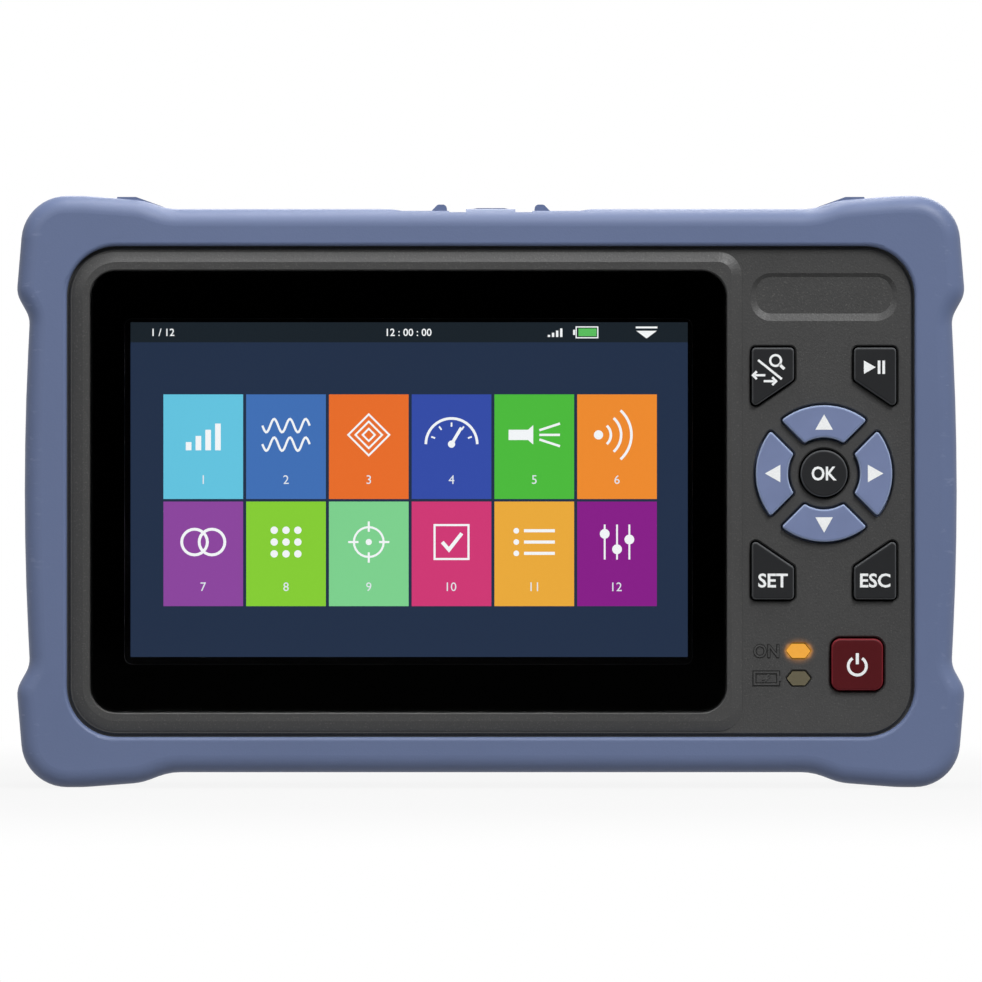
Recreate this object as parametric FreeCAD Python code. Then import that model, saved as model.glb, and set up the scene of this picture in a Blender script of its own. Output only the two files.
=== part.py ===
import FreeCAD, Part
import math
import os
from FreeCAD import Vector

# A hand-held optical time domain reflectometer: a hard two-part case in a soft protective boot,
# with a touch display, a keypad, ports under hinged covers on top and a stand on the back.
# Millimetres. The user sees +X to the right and +Z up, and +Y points away from the user.
# The origin is under the middle of the instrument, on the surface that it stands on.

os.makedirs("parts", exist_ok=True)

# ---- Case ----
depth = 50.0              # front of the boot to its back
glass_left = 10.15        # case's left side to the display glass
keypad_band = 42.15       # display glass to the case's right side
glass_end = 9.45          # case above and below the display glass
case_corner = 8.0
wall = 2.4
split_ahead = 0.2         # rim of the rear shell in front of its battery bay

# ---- Boot: skin over the case, thicker pads at the four corners ----
skin_top = 2.75
skin_bottom = 2.4
skin_side = 3.5           # where the bowed side would peak before it is rounded
waist = 1.85              # skin beside a pad
pad_end = 5.3             # pad above and below the case
pad_slope = 0.85          # how much a pad thins towards the middle
pad_side = 4.4            # pad beside the case
pad_shoulder = 2.8        # the same line carried up to the corner
pad_corner = 8.9
pad_full = 19.9           # distances in from the case's side
foot_inner = 8.8
pad_rise = 5.4            # run of the slope up to a pad
pad_drop = 13.8           # distance down from the case's top
waist_fall = 4.6          # run of the slope down to the side
pad_ease = 12.0           # roundings of the outline
side_ease = 5.0
foot_ease = 40.0
ridge_in = 15.2           # low ridge across each upper pad, in from the case's side
ridge_width = 3.6
ridge_drop = 0.2          # its top below the pad's end
ridge_flank = 1.2
bow_share = 0.8           # how much of a side bows
boot_round = 3.4          # outer front and back edges
lip = 2.2                 # boot in front of and behind the case
lip_round = 0.8
lip_side = 5.45           # front lip over the case's sides
lip_end = 4.5             # and over its top and bottom
opening_corner = 9.7
back_lip_side = 4.8
back_lip_end = 3.7
back_opening_corner = 6.0
fit_gap = 0.4             # between the boot's lips and the raised panels

# ---- Front panel ----
panel_drop = 1.6          # keypad face behind the front of the boot
panel_edge = 0.35         # chamfer round the keypad face
surround_height = 1.0     # display surround above the keypad face
surround_foot = 0.1       # upright foot of its sloping edge
surround_slope = 2.0      # width of the slope
surround_margin = 1.1     # its edge inside the boot's opening
surround_band = 3.15      # surround to the right of the glass
surround_corner = 4.6
surround_rim = 0.2        # chamfer round the glass
rear_panel_drop = 1.4     # rear face in front of the back of the boot

# ---- Display ----
glass_width = 123.3
glass_height = 85.5
glass_corner = 4.8
glass_inset = 0.3         # glass face behind the surround
glass_thick = 1.1
glass_gap = 0.25
tape_thick = 0.2
ledge_side = 6.45         # ledge under the glass at its sides
ledge_end = 9.15          # and at its top and bottom
window_corner = 1.5
lcd_side = 5.0            # display module past the window at its sides
lcd_end = 4.4             # and at its top and bottom
lcd_thick = 4.0
foam_thick = 0.5
bracket_inset = 4.2       # bracket's sides inside the module's
bracket_thick = 0.8
bracket_screw_x = 44.0    # its screws, from the middle of the glass
bracket_tab = 3.8         # its screws past the module's top and bottom
bracket_edge = 3.7        # sheet round its screws

# ---- Keypad ----
keypad_in = 23.05         # middle of the keypad from the case's right side
dpad_up = 3.5             # middle of the round pad above the middle of the case
key_proud = 1.2           # key face above the keypad face
key_travel = 0.8
key_gap = 0.35
key_round = 0.45
flange_reach = 0.6        # flange beyond the key hole
flange_thick = 0.9
stop_gap = 0.1            # left between flange and mat at full travel
ok_hole = 4.9             # radii on the round pad
ok_ring_width = 1.76      # panel between OK hole and arrow holes
arrow_outer = 13.6
arrow_bar = 2.3
arrow_corner = 0.8
side_key_inner = 5.5      # corner keys, from the middle of the round pad
side_key_outer = 14.35
side_key_far = 24.8
side_key_near = 18.0
side_key_tip = 12.0
side_key_corner = 1.1
power_key = 10.7
power_key_corner = 2.1
power_key_right = 6.45    # from the middle of the keypad
power_key_up = 18.6       # from the case's bottom
lens_width = 5.0
lens_height = 3.0
lens_gap = 0.15
lens_left = 4.9           # from the middle of the keypad
lens_up = 15.9            # lower lens from the case's bottom
lens_pitch = 5.3
plate_width = 28.5        # bare name plate recess
plate_height = 9.3
plate_corner = 4.0
plate_down = 14.4         # from the case's top
plate_depth = 0.5
plate_slope = 1.1         # width of its sloping sides
plate_shift = 0.35        # its floor above the middle of its outline
rim_chamfer = 0.25        # round the key and lens holes
mat_thick = 1.0
board_thick = 1.6
board_gap = 0.5
dome_radius = 1.9
dome_crown = 1.1          # radius of its flat top
dome_height = 0.3
plunger_radius = 1.3
plunger_gap = 0.3
keypad_screw_x = 15.6     # keypad screws, from the middle of the keypad
keypad_board_edge = 2.4   # board and mat round their screws
keypad_screw_low = 28.0   # keypad screws, from the middle of the round pad
keypad_screw_high = 28.6

# ---- Port covers ----
cover_inner = 8.6         # inner end of a cover, from the middle
hinge_x = 49.0
cover_half = 12.4         # half of its width, front to back
cover_proud = 0.1
cover_lift = 0.1          # underside above the case
cover_gap = 0.5
hinge_gap = 0.3
skirt_depth = 1.6
skirt_thick = 1.2
skirt_gap = 0.3
skirt_ledge = 1.4         # how far a cover overlaps the rim of its bay
tab_length = 3.3
tab_top = 1.8
tab_height = 1.15
tab_round = 0.8
tab_half = 6.5
finger_dip = 0.4          # dip in cover and boot beside a tab
finger_end = 19.6         # its outer end, from the middle
finger_ramp = 2.4
anchor_length = 3.6
anchor_thick = 1.2
stud_radius = 1.4
stud_y = 7.0
bridge_dip = 0.65         # grooves across the boot beside the covers
hump_half = 2.6
hump_foot = 4.8
hump_height = 0.4

# ---- Ports ----
bay_depth = 8.2           # floor of a bay below the top of the case
bay_floor = 1.6
bay_wall = 1.6
port_end = 1.5            # flanges from the ends of their bay
port_spacing = 1.5        # between flanges
barrel_radius = 4.0
laser_barrel_radius = 3.5
barrel_height = 6.1
port_flange_thick = 1.5
port_shank = 4.4
nut_spacing = 1.3
nut_thick = 2.4
sleeve_outer = 1.6
ferrule_radius = 1.25
ferrule_depth = 6.0
sleeve_drop = 1.0
stub_length = 5.2
main_board_y = 6.5        # front face of the main board
main_board_side = 2.6     # from the case screws' bosses
main_board_drop = 1.3     # its top edge below the bays
main_board_low = 6.2      # its bottom edge above the battery bay
board_screw_in = 5.0      # its screws from its edges
module_width = 52.0
module_height = 40.0
module_depth = 14.0
network_in = 2.0          # network socket from the bay's inner end
network_width = 15.8
network_deep = 13.3
network_long = 15.5
network_plug_width = 11.9
network_plug_deep = 7.0
network_latch_width = 6.3
network_latch_deep = 1.8
network_reach = 12.6
contact_count = 8
contact_pitch = 1.02
contact_width = 0.4
usb_spacing = 0.6
usb_width = 8.94
usb_deep = 3.26
usb_shell = 0.32
usb_long = 7.4
tongue_width = 6.7
tongue_thick = 0.7
charge_spacing = 1.0
charge_width = 9.0
charge_deep = 11.0
charge_long = 13.5
charge_bore = 3.1
charge_pin = 1.0
charge_reach = 9.5
sill_gap = 0.1            # round the sockets where they pass through a bay's floor
buzzer_radius = 6.0
buzzer_height = 5.5
buzzer_in = 22.0          # from the main board's end
buzzer_drop = 34.6        # below the main board's top edge

# ---- Back ----
stand_width = 60.0
stand_length = 47.0       # from its pin to its foot
stand_thick = 2.6
stand_gap = 0.5
stand_pin_drop = 14.2     # pin below the case's top
stand_barrel = 2.35
stand_pin_radius = 1.25
pin_gap = 0.05
stand_pin_length = 9.0
stand_window_width = 36.0
stand_window_height = 22.0
notch_width = 18.0
notch_height = 5.0
battery_radius = 9.5
battery_length = 131.0
battery_up = 21.7         # from the case's bottom
battery_gap = 0.5
door_side = 5.5           # battery door past the battery's ends
door_end = 3.5            # and above and below it
door_thick = 2.0
door_corner = 3.0
door_gap = 0.2
door_screw_side = 3.1     # its screws past the battery's ends
bay_skin = 1.4            # wall of the battery bay
case_screw_side = 9.8     # screws in from the case's sides
case_screw_in = 8.2       # screws in from the top and bottom of the case
boss_radius = 3.4
screw_radius = 1.5
screw_head = 2.7
screw_sink = 9.0          # heads below the rear face
head_gap = 0.3
head_height = 2.0
screw_bite = 12.0         # screw past the split
small_screw = 1.0
small_head = 2.0
small_head_height = 1.2
small_bite = 3.4
post_radius = 2.3
gasket_width = 1.0
gasket_height = 0.8

# ---- Levels that follow ----
case_width = glass_left + glass_width + keypad_band
case_height = glass_height + 2 * glass_end
case_x = case_width / 2
case_z = case_height / 2
mid_z = case_z + pad_end
case_top = mid_z + case_z
case_bottom = mid_z - case_z
opening_width = case_width - 2 * lip_side
opening_height = case_height - 2 * lip_end
back_opening_width = case_width - 2 * back_lip_side
back_opening_height = case_height - 2 * back_lip_end
boot_top = case_top + skin_top
front = -depth / 2
back = depth / 2
front_seat = front + lip
back_seat = back - lip
panel_y = front + panel_drop
inner_front = panel_y + wall
surround_y = panel_y - surround_height
rear_y = back - rear_panel_drop
inner_back = rear_y - wall
glass_y = surround_y + glass_inset
tape_y = glass_y + glass_thick
ledge_y = tape_y + tape_thick
glass_x = glass_left + glass_width / 2 - case_x
surround_right = glass_x + glass_width / 2 + surround_band
window_width = glass_width - 2 * ledge_side
window_height = glass_height - 2 * ledge_end
lcd_width = window_width + 2 * lcd_side
lcd_height = window_height + 2 * lcd_end
bracket_screw_z = lcd_height / 2 + bracket_tab
keypad_x = case_x - keypad_in
dpad_z = mid_z + dpad_up
arrow_inner = ok_hole + ok_ring_width
power_key_x = keypad_x + power_key_right
power_key_z = case_bottom + power_key_up
lens_x = keypad_x - lens_left
lens_z = (case_bottom + lens_up + lens_pitch, case_bottom + lens_up)
plate_z = case_top - plate_down
lcd_y = inner_front + foam_thick
bracket_y = lcd_y + lcd_thick
flange_back = inner_front + flange_thick
mat_y = flange_back + key_travel + stop_gap
keypad_board_y = mat_y + mat_thick
bay_z = case_top - bay_depth
tray_bottom = bay_z - bay_floor
tray_top = case_top - wall
cover_bottom = case_top + cover_lift
cover_top = boot_top + cover_proud
cover_thick = cover_top - cover_bottom
hinge_z = (cover_top + cover_bottom) / 2
window_outer = hinge_x + cover_thick / 2 + hinge_gap
window_inner = cover_inner - cover_gap
bay_inner = cover_inner + skirt_ledge - cover_gap
bay_outer = hinge_x - cover_gap
bay_half = cover_half - skirt_ledge
port_pitch = (bay_outer - bay_inner - 2 * port_end + port_spacing) / 3
port_flange = port_pitch - port_spacing
nut_across = port_pitch - nut_spacing
network_x = bay_inner + network_in + network_width / 2
usb_outer = usb_width + 2 * usb_shell
usb_x = network_x + network_width / 2 + usb_spacing + usb_outer / 2
charge_x = usb_x + usb_outer / 2 + charge_spacing + charge_width / 2
charge_pin_y = main_board_y - charge_deep / 2
battery_z = case_bottom + battery_up
battery_bay_x = battery_length / 2 + battery_gap
battery_bay_half = battery_radius + battery_gap
door_width = battery_length + 2 * door_side
door_height = 2 * (battery_radius + door_end)
door_ledge = rear_y - door_thick
bay_front = door_ledge - 2 * battery_bay_half
split_y = bay_front - bay_skin - split_ahead
door_screw_x = battery_length / 2 + door_screw_side
case_screw_x = case_x - case_screw_side
main_board_end = main_board_y + board_thick
main_board_half = case_screw_x - boss_radius - main_board_side
main_board_top = tray_bottom - main_board_drop
main_board_bottom = battery_z + battery_bay_half + bay_skin + main_board_low
module_top = main_board_top - board_screw_in - port_shank
buzzer_x = main_board_half - buzzer_in
stand_pin_y = rear_y - stand_barrel
stand_pin_z = case_top - stand_pin_drop


# ---- Helpers ----
def block(xs, ys, zs):
    """Box between two values on each axis, given in either order."""
    low = Vector(min(xs), min(ys), min(zs))
    size = Vector(max(xs), max(ys), max(zs)) - low
    return Part.makeBox(size.x, size.y, size.z, low)


def rod_y(x, z, radius, y0, y1):
    """Cylinder along Y."""
    return Part.makeCylinder(radius, y1 - y0, Vector(x, y0, z), Vector(0, 1, 0))


def rod_z(x, y, radius, z0, z1):
    """Cylinder along Z."""
    return Part.makeCylinder(radius, z1 - z0, Vector(x, y, z0))


def rod_x(y, z, radius, x0, x1):
    """Cylinder along X."""
    return Part.makeCylinder(radius, x1 - x0, Vector(x0, y, z), Vector(1, 0, 0))


def rounded_face(corners, y=0.0):
    """Flat face facing the user through corners (x, z, radius), each rounded by a tangent arc."""
    arcs = []
    for i, (x, z, radius) in enumerate(corners):
        here = Vector(x, y, z)
        last = corners[i - 1]
        following = corners[(i + 1) % len(corners)]
        back_way = (Vector(last[0], y, last[1]) - here).normalize()
        on_way = (Vector(following[0], y, following[1]) - here).normalize()
        half = back_way.getAngle(on_way) / 2
        inward = (back_way + on_way).normalize()
        setback = radius / math.tan(half)
        middle = here + inward * (radius / math.sin(half) - radius)
        arcs.append((here + back_way * setback, middle, here + on_way * setback))
    edges = []
    for i, arc in enumerate(arcs):
        edges.append(Part.Arc(*arc).toShape())
        start = arcs[(i + 1) % len(arcs)][0]
        if (start - arc[2]).Length > 1e-4:
            edges.append(Part.LineSegment(arc[2], start).toShape())
    return Part.Face(Part.Wire(edges))


def rectangle(x, z, width, height, radius):
    """Corners of a rounded rectangle, for rounded_face."""
    right = x + width / 2
    top = z + height / 2
    left = x - width / 2
    low = z - height / 2
    return [(left, low, radius), (right, low, radius), (right, top, radius), (left, top, radius)]


def slab(corners, y0, y1):
    """Rounded outline carried from y0 to y1."""
    return rounded_face(corners, y0).extrude(Vector(0, y1 - y0, 0))


def frustum(near, far, y0, y1):
    """Solid with sloping sides between an outline at y0 and another at y1."""
    rims = [rounded_face(near, y0).OuterWire, rounded_face(far, y1).OuterWire]
    return Part.makeLoft(rims, True, True)


def thicken(face, y0, y1):
    """Flat face at y = 0 carried from y0 to y1."""
    solid = face.extrude(Vector(0, y1 - y0, 0))
    solid.translate(Vector(0, y0, 0))
    return solid


def flat_prism(points, y0, y1):
    """Straight-edged outline of (x, z) points carried from y0 to y1."""
    ring = [Vector(x, y0, z) for x, z in points]
    return Part.Face(Part.makePolygon(ring + ring[:1])).extrude(Vector(0, y1 - y0, 0))


def edges_at(shape, axis, value, keep=None):
    """Edges that lie in the plane where one coordinate has the given value."""
    found = []
    for edge in shape.Edges:
        box = edge.BoundBox
        low = getattr(box, axis + "Min")
        high = getattr(box, axis + "Max")
        if abs(low - value) < 1e-4 and abs(high - value) < 1e-4 and (keep is None or keep(box)):
            found.append(edge)
    return found


def fused(first, *others):
    """One solid from several that meet."""
    return first.multiFuse(list(others)).removeSplitter() if others else first


def mirrored(shape):
    """The same shape on the other side of the middle."""
    return shape.mirror(Vector(0, 0, 0), Vector(1, 0, 0))


def save(name, *solids):
    """Write one sub-part, from one solid or a group of separate ones."""
    for solid in solids:
        if not solid.isValid() or len(solid.Solids) != 1:
            raise ValueError(name + " is not one valid solid")
    shape = solids[0].Solids[0] if len(solids) == 1 else Part.makeCompound([s.Solids[0] for s in solids])
    shape.exportStep("parts/" + name + ".step")


# ---- Places shared by several pieces ----
case_outline = rectangle(0, mid_z, case_width, case_height, case_corner)
cavity_outline = rectangle(0, mid_z, case_width - 2 * wall, case_height - 2 * wall, case_corner - wall)
case_screw_places = [
    (side * case_screw_x, z)
    for side in (-1, 1)
    for z in (case_bottom + case_screw_in, case_top - case_screw_in)
]
bracket_places = [
    (glass_x + sx * bracket_screw_x, mid_z + sz * bracket_screw_z) for sx in (-1, 1) for sz in (-1, 1)
]
keypad_places = [
    (keypad_x + side * keypad_screw_x, z)
    for side in (-1, 1)
    for z in (dpad_z - keypad_screw_low, dpad_z + keypad_screw_high)
]
board_places = [
    (side * (main_board_half - board_screw_in), z)
    for side in (-1, 1)
    for z in (main_board_top - board_screw_in, main_board_bottom + board_screw_in)
]
door_screw_places = [(-door_screw_x, battery_z), (door_screw_x, battery_z)]
bay_middle = (bay_inner + bay_outer) / 2
port_x = [-bay_middle - port_pitch, -bay_middle, -bay_middle + port_pitch]
stud_x = window_outer + anchor_length / 2
stud_places = [(side * stud_x, y) for side in (-1, 1) for y in (-stud_y, stud_y)]


def bay_hole(side, z0, z1, margin=0.0):
    """Space of one port bay, between two heights."""
    return block(
        (side * (bay_inner - margin), side * (bay_outer + margin)),
        (-bay_half - margin, bay_half + margin),
        (z0, z1),
    )


def screw(x, z, radius, head, head_tall, y_head, y_tip):
    """Screw along Y with a hexagon socket, from the top of its head at y_head to its tip at y_tip."""
    toward = 1 if y_head > y_tip else -1
    under = y_head - toward * head_tall
    body = fused(
        rod_y(x, z, head, min(y_head, under), max(y_head, under)),
        rod_y(x, z, radius, min(under, y_tip), max(under, y_tip)),
    )
    socket = Part.makePolygon(
        [
            Vector(x + 0.45 * head * math.cos(a), y_head, z + 0.45 * head * math.sin(a))
            for a in [math.radians(60 * i) for i in range(7)]
        ]
    )
    return body.cut(Part.Face(socket).extrude(Vector(0, -toward * 0.6 * head_tall, 0)))


# ---- Boot ----
def boot_quarter(side, up, skin):
    """Corners of a quarter of the boot's outline, from the middle of an end to the middle of a side."""
    corners = [
        (case_x - pad_full - pad_rise, case_z + skin, pad_ease),
        (case_x - pad_full, case_z + pad_end - pad_slope, pad_ease),
        (case_x - foot_inner, case_z + pad_end, foot_ease),
        (case_x + pad_shoulder, case_z + pad_end, pad_corner),
        (case_x + pad_side, case_z - pad_drop, side_ease),
        (case_x + waist, case_z - pad_drop - waist_fall, side_ease),
    ]
    return [(side * x, mid_z + up * z, radius) for x, z, radius in corners]


def make_boot():
    """Moulded skin with corner pads, front and back lips, and a window over each port bay."""
    run = case_z - pad_drop - waist_fall
    bow_radius = bow_share * run**2 / (skin_side - waist)
    outline = boot_quarter(1, 1, skin_top)
    outline += [(case_x + skin_side, mid_z, bow_radius)]
    outline += boot_quarter(1, -1, skin_bottom)[::-1]
    outline += boot_quarter(-1, -1, skin_bottom)
    outline += [(-case_x - skin_side, mid_z, bow_radius)]
    outline += boot_quarter(-1, 1, skin_top)[::-1]
    body = slab(outline, front, back)
    body = body.makeFillet(boot_round, edges_at(body, "Y", front) + edges_at(body, "Y", back))
    holes = [
        slab(case_outline, front_seat, back_seat),
        slab(rectangle(0, mid_z, opening_width, opening_height, opening_corner), front, front_seat),
        slab(
            rectangle(0, mid_z, back_opening_width, back_opening_height, back_opening_corner),
            back_seat,
            back,
        ),
    ]
    top = boot_top + 1
    reach = top - hinge_z
    for side in (-1, 1):
        holes.append(
            block(
                (side * window_inner, side * window_outer),
                (-cover_half - cover_gap, cover_half + cover_gap),
                (case_top, top),
            )
        )
        slope = [
            (side * window_outer, hinge_z),
            (side * (window_outer + reach), top),
            (side * window_outer, top),
        ]
        holes.append(flat_prism(slope, -cover_half - cover_gap, cover_half + cover_gap))
        groove = (side * hump_foot, side * window_inner)
        holes.append(block(groove, (front, back), (boot_top - bridge_dip, top)))
        holes.append(finger_space(side, window_inner, boot_top))
        holes.append(anchor_plate(side))
    body = body.cut(holes)
    rims = edges_at(
        body, "Y", front, lambda box: within(box, 0, mid_z, opening_width, opening_height)
    )
    rims += edges_at(
        body, "Y", back, lambda box: within(box, 0, mid_z, back_opening_width, back_opening_height)
    )
    body = body.makeFillet(lip_round, rims)
    hump = [
        (-hump_foot, boot_top),
        (-hump_half, boot_top + hump_height),
        (hump_half, boot_top + hump_height),
        (hump_foot, boot_top),
    ]
    return fused(body, flat_prism(hump, -cover_half, cover_half), pad_ridge(-1), pad_ridge(1))


def pad_ridge(side):
    """Low ridge across the boot at the inner end of an upper pad, running out down the slope."""
    outer = case_x - ridge_in
    top = case_top + pad_end - ridge_drop
    outline = [
        (outer + ridge_flank, boot_top),
        (outer, top),
        (outer - ridge_width, top),
        (case_x - pad_full - pad_rise, boot_top),
    ]
    return flat_prism([(side * x, z) for x, z in outline], front + boot_round, back - boot_round)


def finger_space(side, start, level):
    """Space over the finger dip beside a cover's tab, cut below a level surface."""
    outline = [
        (start, level + 1),
        (start, level - finger_dip),
        (finger_end - finger_ramp, level - finger_dip),
        (finger_end, level),
        (finger_end, level + 1),
    ]
    return flat_prism([(side * x, z) for x, z in outline], front, back)


def within(box, x, z, width, height):
    """True if a bounding box lies in a rectangle about (x, z)."""
    reach_x = width / 2 + 0.01
    reach_z = height / 2 + 0.01
    across = box.XMin > x - reach_x and box.XMax < x + reach_x
    return across and box.ZMin > z - reach_z and box.ZMax < z + reach_z


def anchor_plate(side):
    """Plate that holds a cover's strap under the boot."""
    return block(
        (side * window_outer, side * (window_outer + anchor_length)),
        (-cover_half, cover_half),
        (case_top, case_top + anchor_thick),
    )


def make_anchor(side):
    """Strap plate with two studs through the case's top wall."""
    studs = [rod_z(x, y, stud_radius, tray_top, case_top) for x, y in stud_places if x * side > 0]
    return fused(anchor_plate(side), *studs)


# ---- Case shells ----
def gasket_ring(y0, y1):
    """Seal round the rim of the case, open where the port tray crosses it."""
    inset = wall - gasket_width
    outer = rectangle(0, mid_z, case_width - inset, case_height - inset, case_corner - inset / 2)
    inset += 2 * gasket_width
    inner = rectangle(0, mid_z, case_width - inset, case_height - inset, case_corner - inset / 2)
    over_tray = block((-bay_outer - bay_wall, bay_outer + bay_wall), (y0, y1), (tray_top, case_top))
    return slab(outer, y0, y1).cut([slab(inner, y0, y1), over_tray])


def surround_outline(inset):
    """Outline of the display surround, or one that lies inside it by a distance."""
    left = -opening_width / 2 + surround_margin + inset
    right = surround_right - inset
    low = mid_z - opening_height / 2 + surround_margin + inset
    high = mid_z + opening_height / 2 - surround_margin - inset
    big = opening_corner - surround_margin - inset
    small = surround_corner - inset
    return [(left, low, big), (right, low, small), (right, high, small), (left, high, big)]


def make_front_shell():
    """Front of the case: raised display surround, keypad holes, lens slots and screw posts."""
    body = slab(case_outline, front_seat, split_y)
    panel = slab(
        rectangle(
            0, mid_z, opening_width - 2 * fit_gap, opening_height - 2 * fit_gap, opening_corner - fit_gap
        ),
        panel_y,
        front_seat,
    )
    panel = panel.makeChamfer(panel_edge, edges_at(panel, "Y", panel_y))
    foot_y = panel_y - surround_foot
    surround_base = slab(surround_outline(0), foot_y, panel_y)
    surround = frustum(surround_outline(surround_slope), surround_outline(0), surround_y, foot_y)
    body = fused(body, panel, surround_base, surround)
    body = body.cut(slab(cavity_outline, inner_front, split_y))
    posts = [rod_y(x, z, boss_radius, inner_front, split_y) for x, z in case_screw_places]
    posts += [rod_y(x, z, post_radius, inner_front, bracket_y) for x, z in bracket_places]
    posts += [rod_y(x, z, post_radius, inner_front, mat_y) for x, z in keypad_places]
    body = fused(body, *posts)
    glass_seat = (glass_width + 2 * glass_gap, glass_height + 2 * glass_gap)
    holes = [
        slab(rectangle(glass_x, mid_z, *glass_seat, glass_corner + glass_gap), surround_y, ledge_y),
        slab(
            rectangle(glass_x, mid_z, window_width, window_height, window_corner), ledge_y, inner_front
        ),
        gasket_ring(split_y - gasket_height, split_y),
    ]
    holes += [thicken(face, panel_y, inner_front) for face in key_holes.values()]
    holes += [thicken(lens_face(z), panel_y, inner_front) for z in lens_z]
    holes += [rod_y(x, z, screw_radius, split_y - screw_bite, split_y) for x, z in case_screw_places]
    holes += [rod_y(x, z, small_screw, bracket_y - small_bite, bracket_y) for x, z in bracket_places]
    holes += [rod_y(x, z, small_screw, inner_front, mat_y) for x, z in keypad_places]
    holes += top_holes()
    body = body.cut(holes)
    rims = edges_at(
        body,
        "Y",
        panel_y,
        lambda box: within(box, keypad_x, mid_z, 2 * side_key_outer, opening_height),
    )
    body = body.makeChamfer(rim_chamfer, rims)
    rims = edges_at(body, "Y", surround_y, lambda box: within(box, glass_x, mid_z, *glass_seat))
    return body.makeChamfer(surround_rim, rims).cut(name_plate_dish())


def name_plate_dish():
    """Shallow recess for a name plate, with sloping sides that are wider below its floor."""
    outer = rectangle(keypad_x, plate_z, plate_width, plate_height, plate_corner)
    inner = rectangle(
        keypad_x,
        plate_z + plate_shift,
        plate_width - 2 * plate_slope,
        plate_height - 2 * plate_slope,
        plate_corner - plate_slope,
    )
    return frustum(outer, inner, panel_y, panel_y + plate_depth)


def top_holes():
    """Openings in the case's top wall: a bay on each side and the strap studs' holes."""
    holes = [bay_hole(side, tray_top, case_top) for side in (-1, 1)]
    return holes + [rod_z(x, y, stud_radius, tray_top, case_top) for x, y in stud_places]


def stand_face(margin):
    """Outline of the stand or, with a margin, of its recess, from the pin down to the foot."""
    middle = stand_pin_z - stand_length / 2
    width = stand_width + 2 * margin
    return rounded_face(rectangle(0, middle, width, stand_length + 2 * margin, 3.0 + margin))


def make_rear_shell():
    """Back of the case: battery bay, stand recess, screw bosses and shelves under the port tray."""
    body = slab(case_outline, split_y, back_seat)
    gap = 2 * fit_gap
    panel = slab(
        rectangle(
            0, mid_z, back_opening_width - gap, back_opening_height - gap, back_opening_corner - fit_gap
        ),
        back_seat,
        rear_y,
    )
    body = fused(body, panel).cut(slab(cavity_outline, split_y, inner_back))
    recess_half = stand_width / 2 + stand_gap
    barrel_pocket = stand_barrel + stand_gap
    pin_reach = stand_width / 2 + stand_pin_length / 2
    backing = block(
        (-recess_half - wall, recess_half + wall),
        (stand_pin_y - barrel_pocket - wall, inner_back),
        (stand_pin_z - stand_length - stand_gap - notch_height - wall, stand_pin_z + barrel_pocket + wall),
    )
    bay_reach = battery_bay_half + bay_skin
    bay_box = block(
        (-battery_bay_x - bay_skin, battery_bay_x + bay_skin),
        (bay_front - bay_skin, inner_back),
        (battery_z - bay_reach, battery_z + bay_reach),
    )
    posts = [rod_y(x, z, boss_radius, split_y, inner_back) for x, z in case_screw_places]
    posts += [rod_y(x, z, post_radius, main_board_end, inner_back) for x, z in board_places]
    door_post_y = door_ledge - 2 * small_bite
    posts += [rod_y(x, z, post_radius, door_post_y, inner_back) for x, z in door_screw_places]
    shelves = [
        block(
            (side * (bay_outer - 1), side * (bay_outer + bay_wall)),
            (main_board_end + board_gap, inner_back),
            (tray_bottom - wall, tray_bottom),
        )
        for side in (-1, 1)
    ]
    body = fused(body, backing, bay_box, *posts, *shelves)
    head_y = rear_y - screw_sink
    holes = [
        thicken(stand_face(stand_gap), rear_y - stand_thick - stand_gap, rear_y),
        rod_x(stand_pin_y, stand_pin_z, barrel_pocket, -recess_half, recess_half),
        rod_x(stand_pin_y, stand_pin_z, stand_pin_radius, -pin_reach, pin_reach),
        block(
            (-recess_half, recess_half),
            (stand_pin_y, rear_y),
            (stand_pin_z, stand_pin_z + barrel_pocket),
        ),
        block(
            (-notch_width / 2, notch_width / 2),
            (rear_y - stand_thick - stand_gap, rear_y),
            (stand_pin_z - stand_length - notch_height, stand_pin_z - stand_length),
        ),
        slab(
            rectangle(
                0, battery_z, door_width + 2 * door_gap, door_height + 2 * door_gap, door_corner + door_gap
            ),
            door_ledge,
            rear_y,
        ),
        block(
            (-battery_bay_x, battery_bay_x),
            (bay_front, door_ledge),
            (battery_z - battery_bay_half, battery_z + battery_bay_half),
        ),
    ]
    head_bore = screw_head + head_gap
    holes += [rod_y(x, z, head_bore, head_y - head_height, rear_y) for x, z in case_screw_places]
    holes += [rod_y(x, z, screw_radius, split_y, head_y) for x, z in case_screw_places]
    board_bite = main_board_end + small_bite
    holes += [rod_y(x, z, small_screw, main_board_end, board_bite) for x, z in board_places]
    holes += [rod_y(x, z, small_screw, door_ledge - small_bite, door_ledge) for x, z in door_screw_places]
    holes += top_holes()
    return body.cut(holes)


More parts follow.
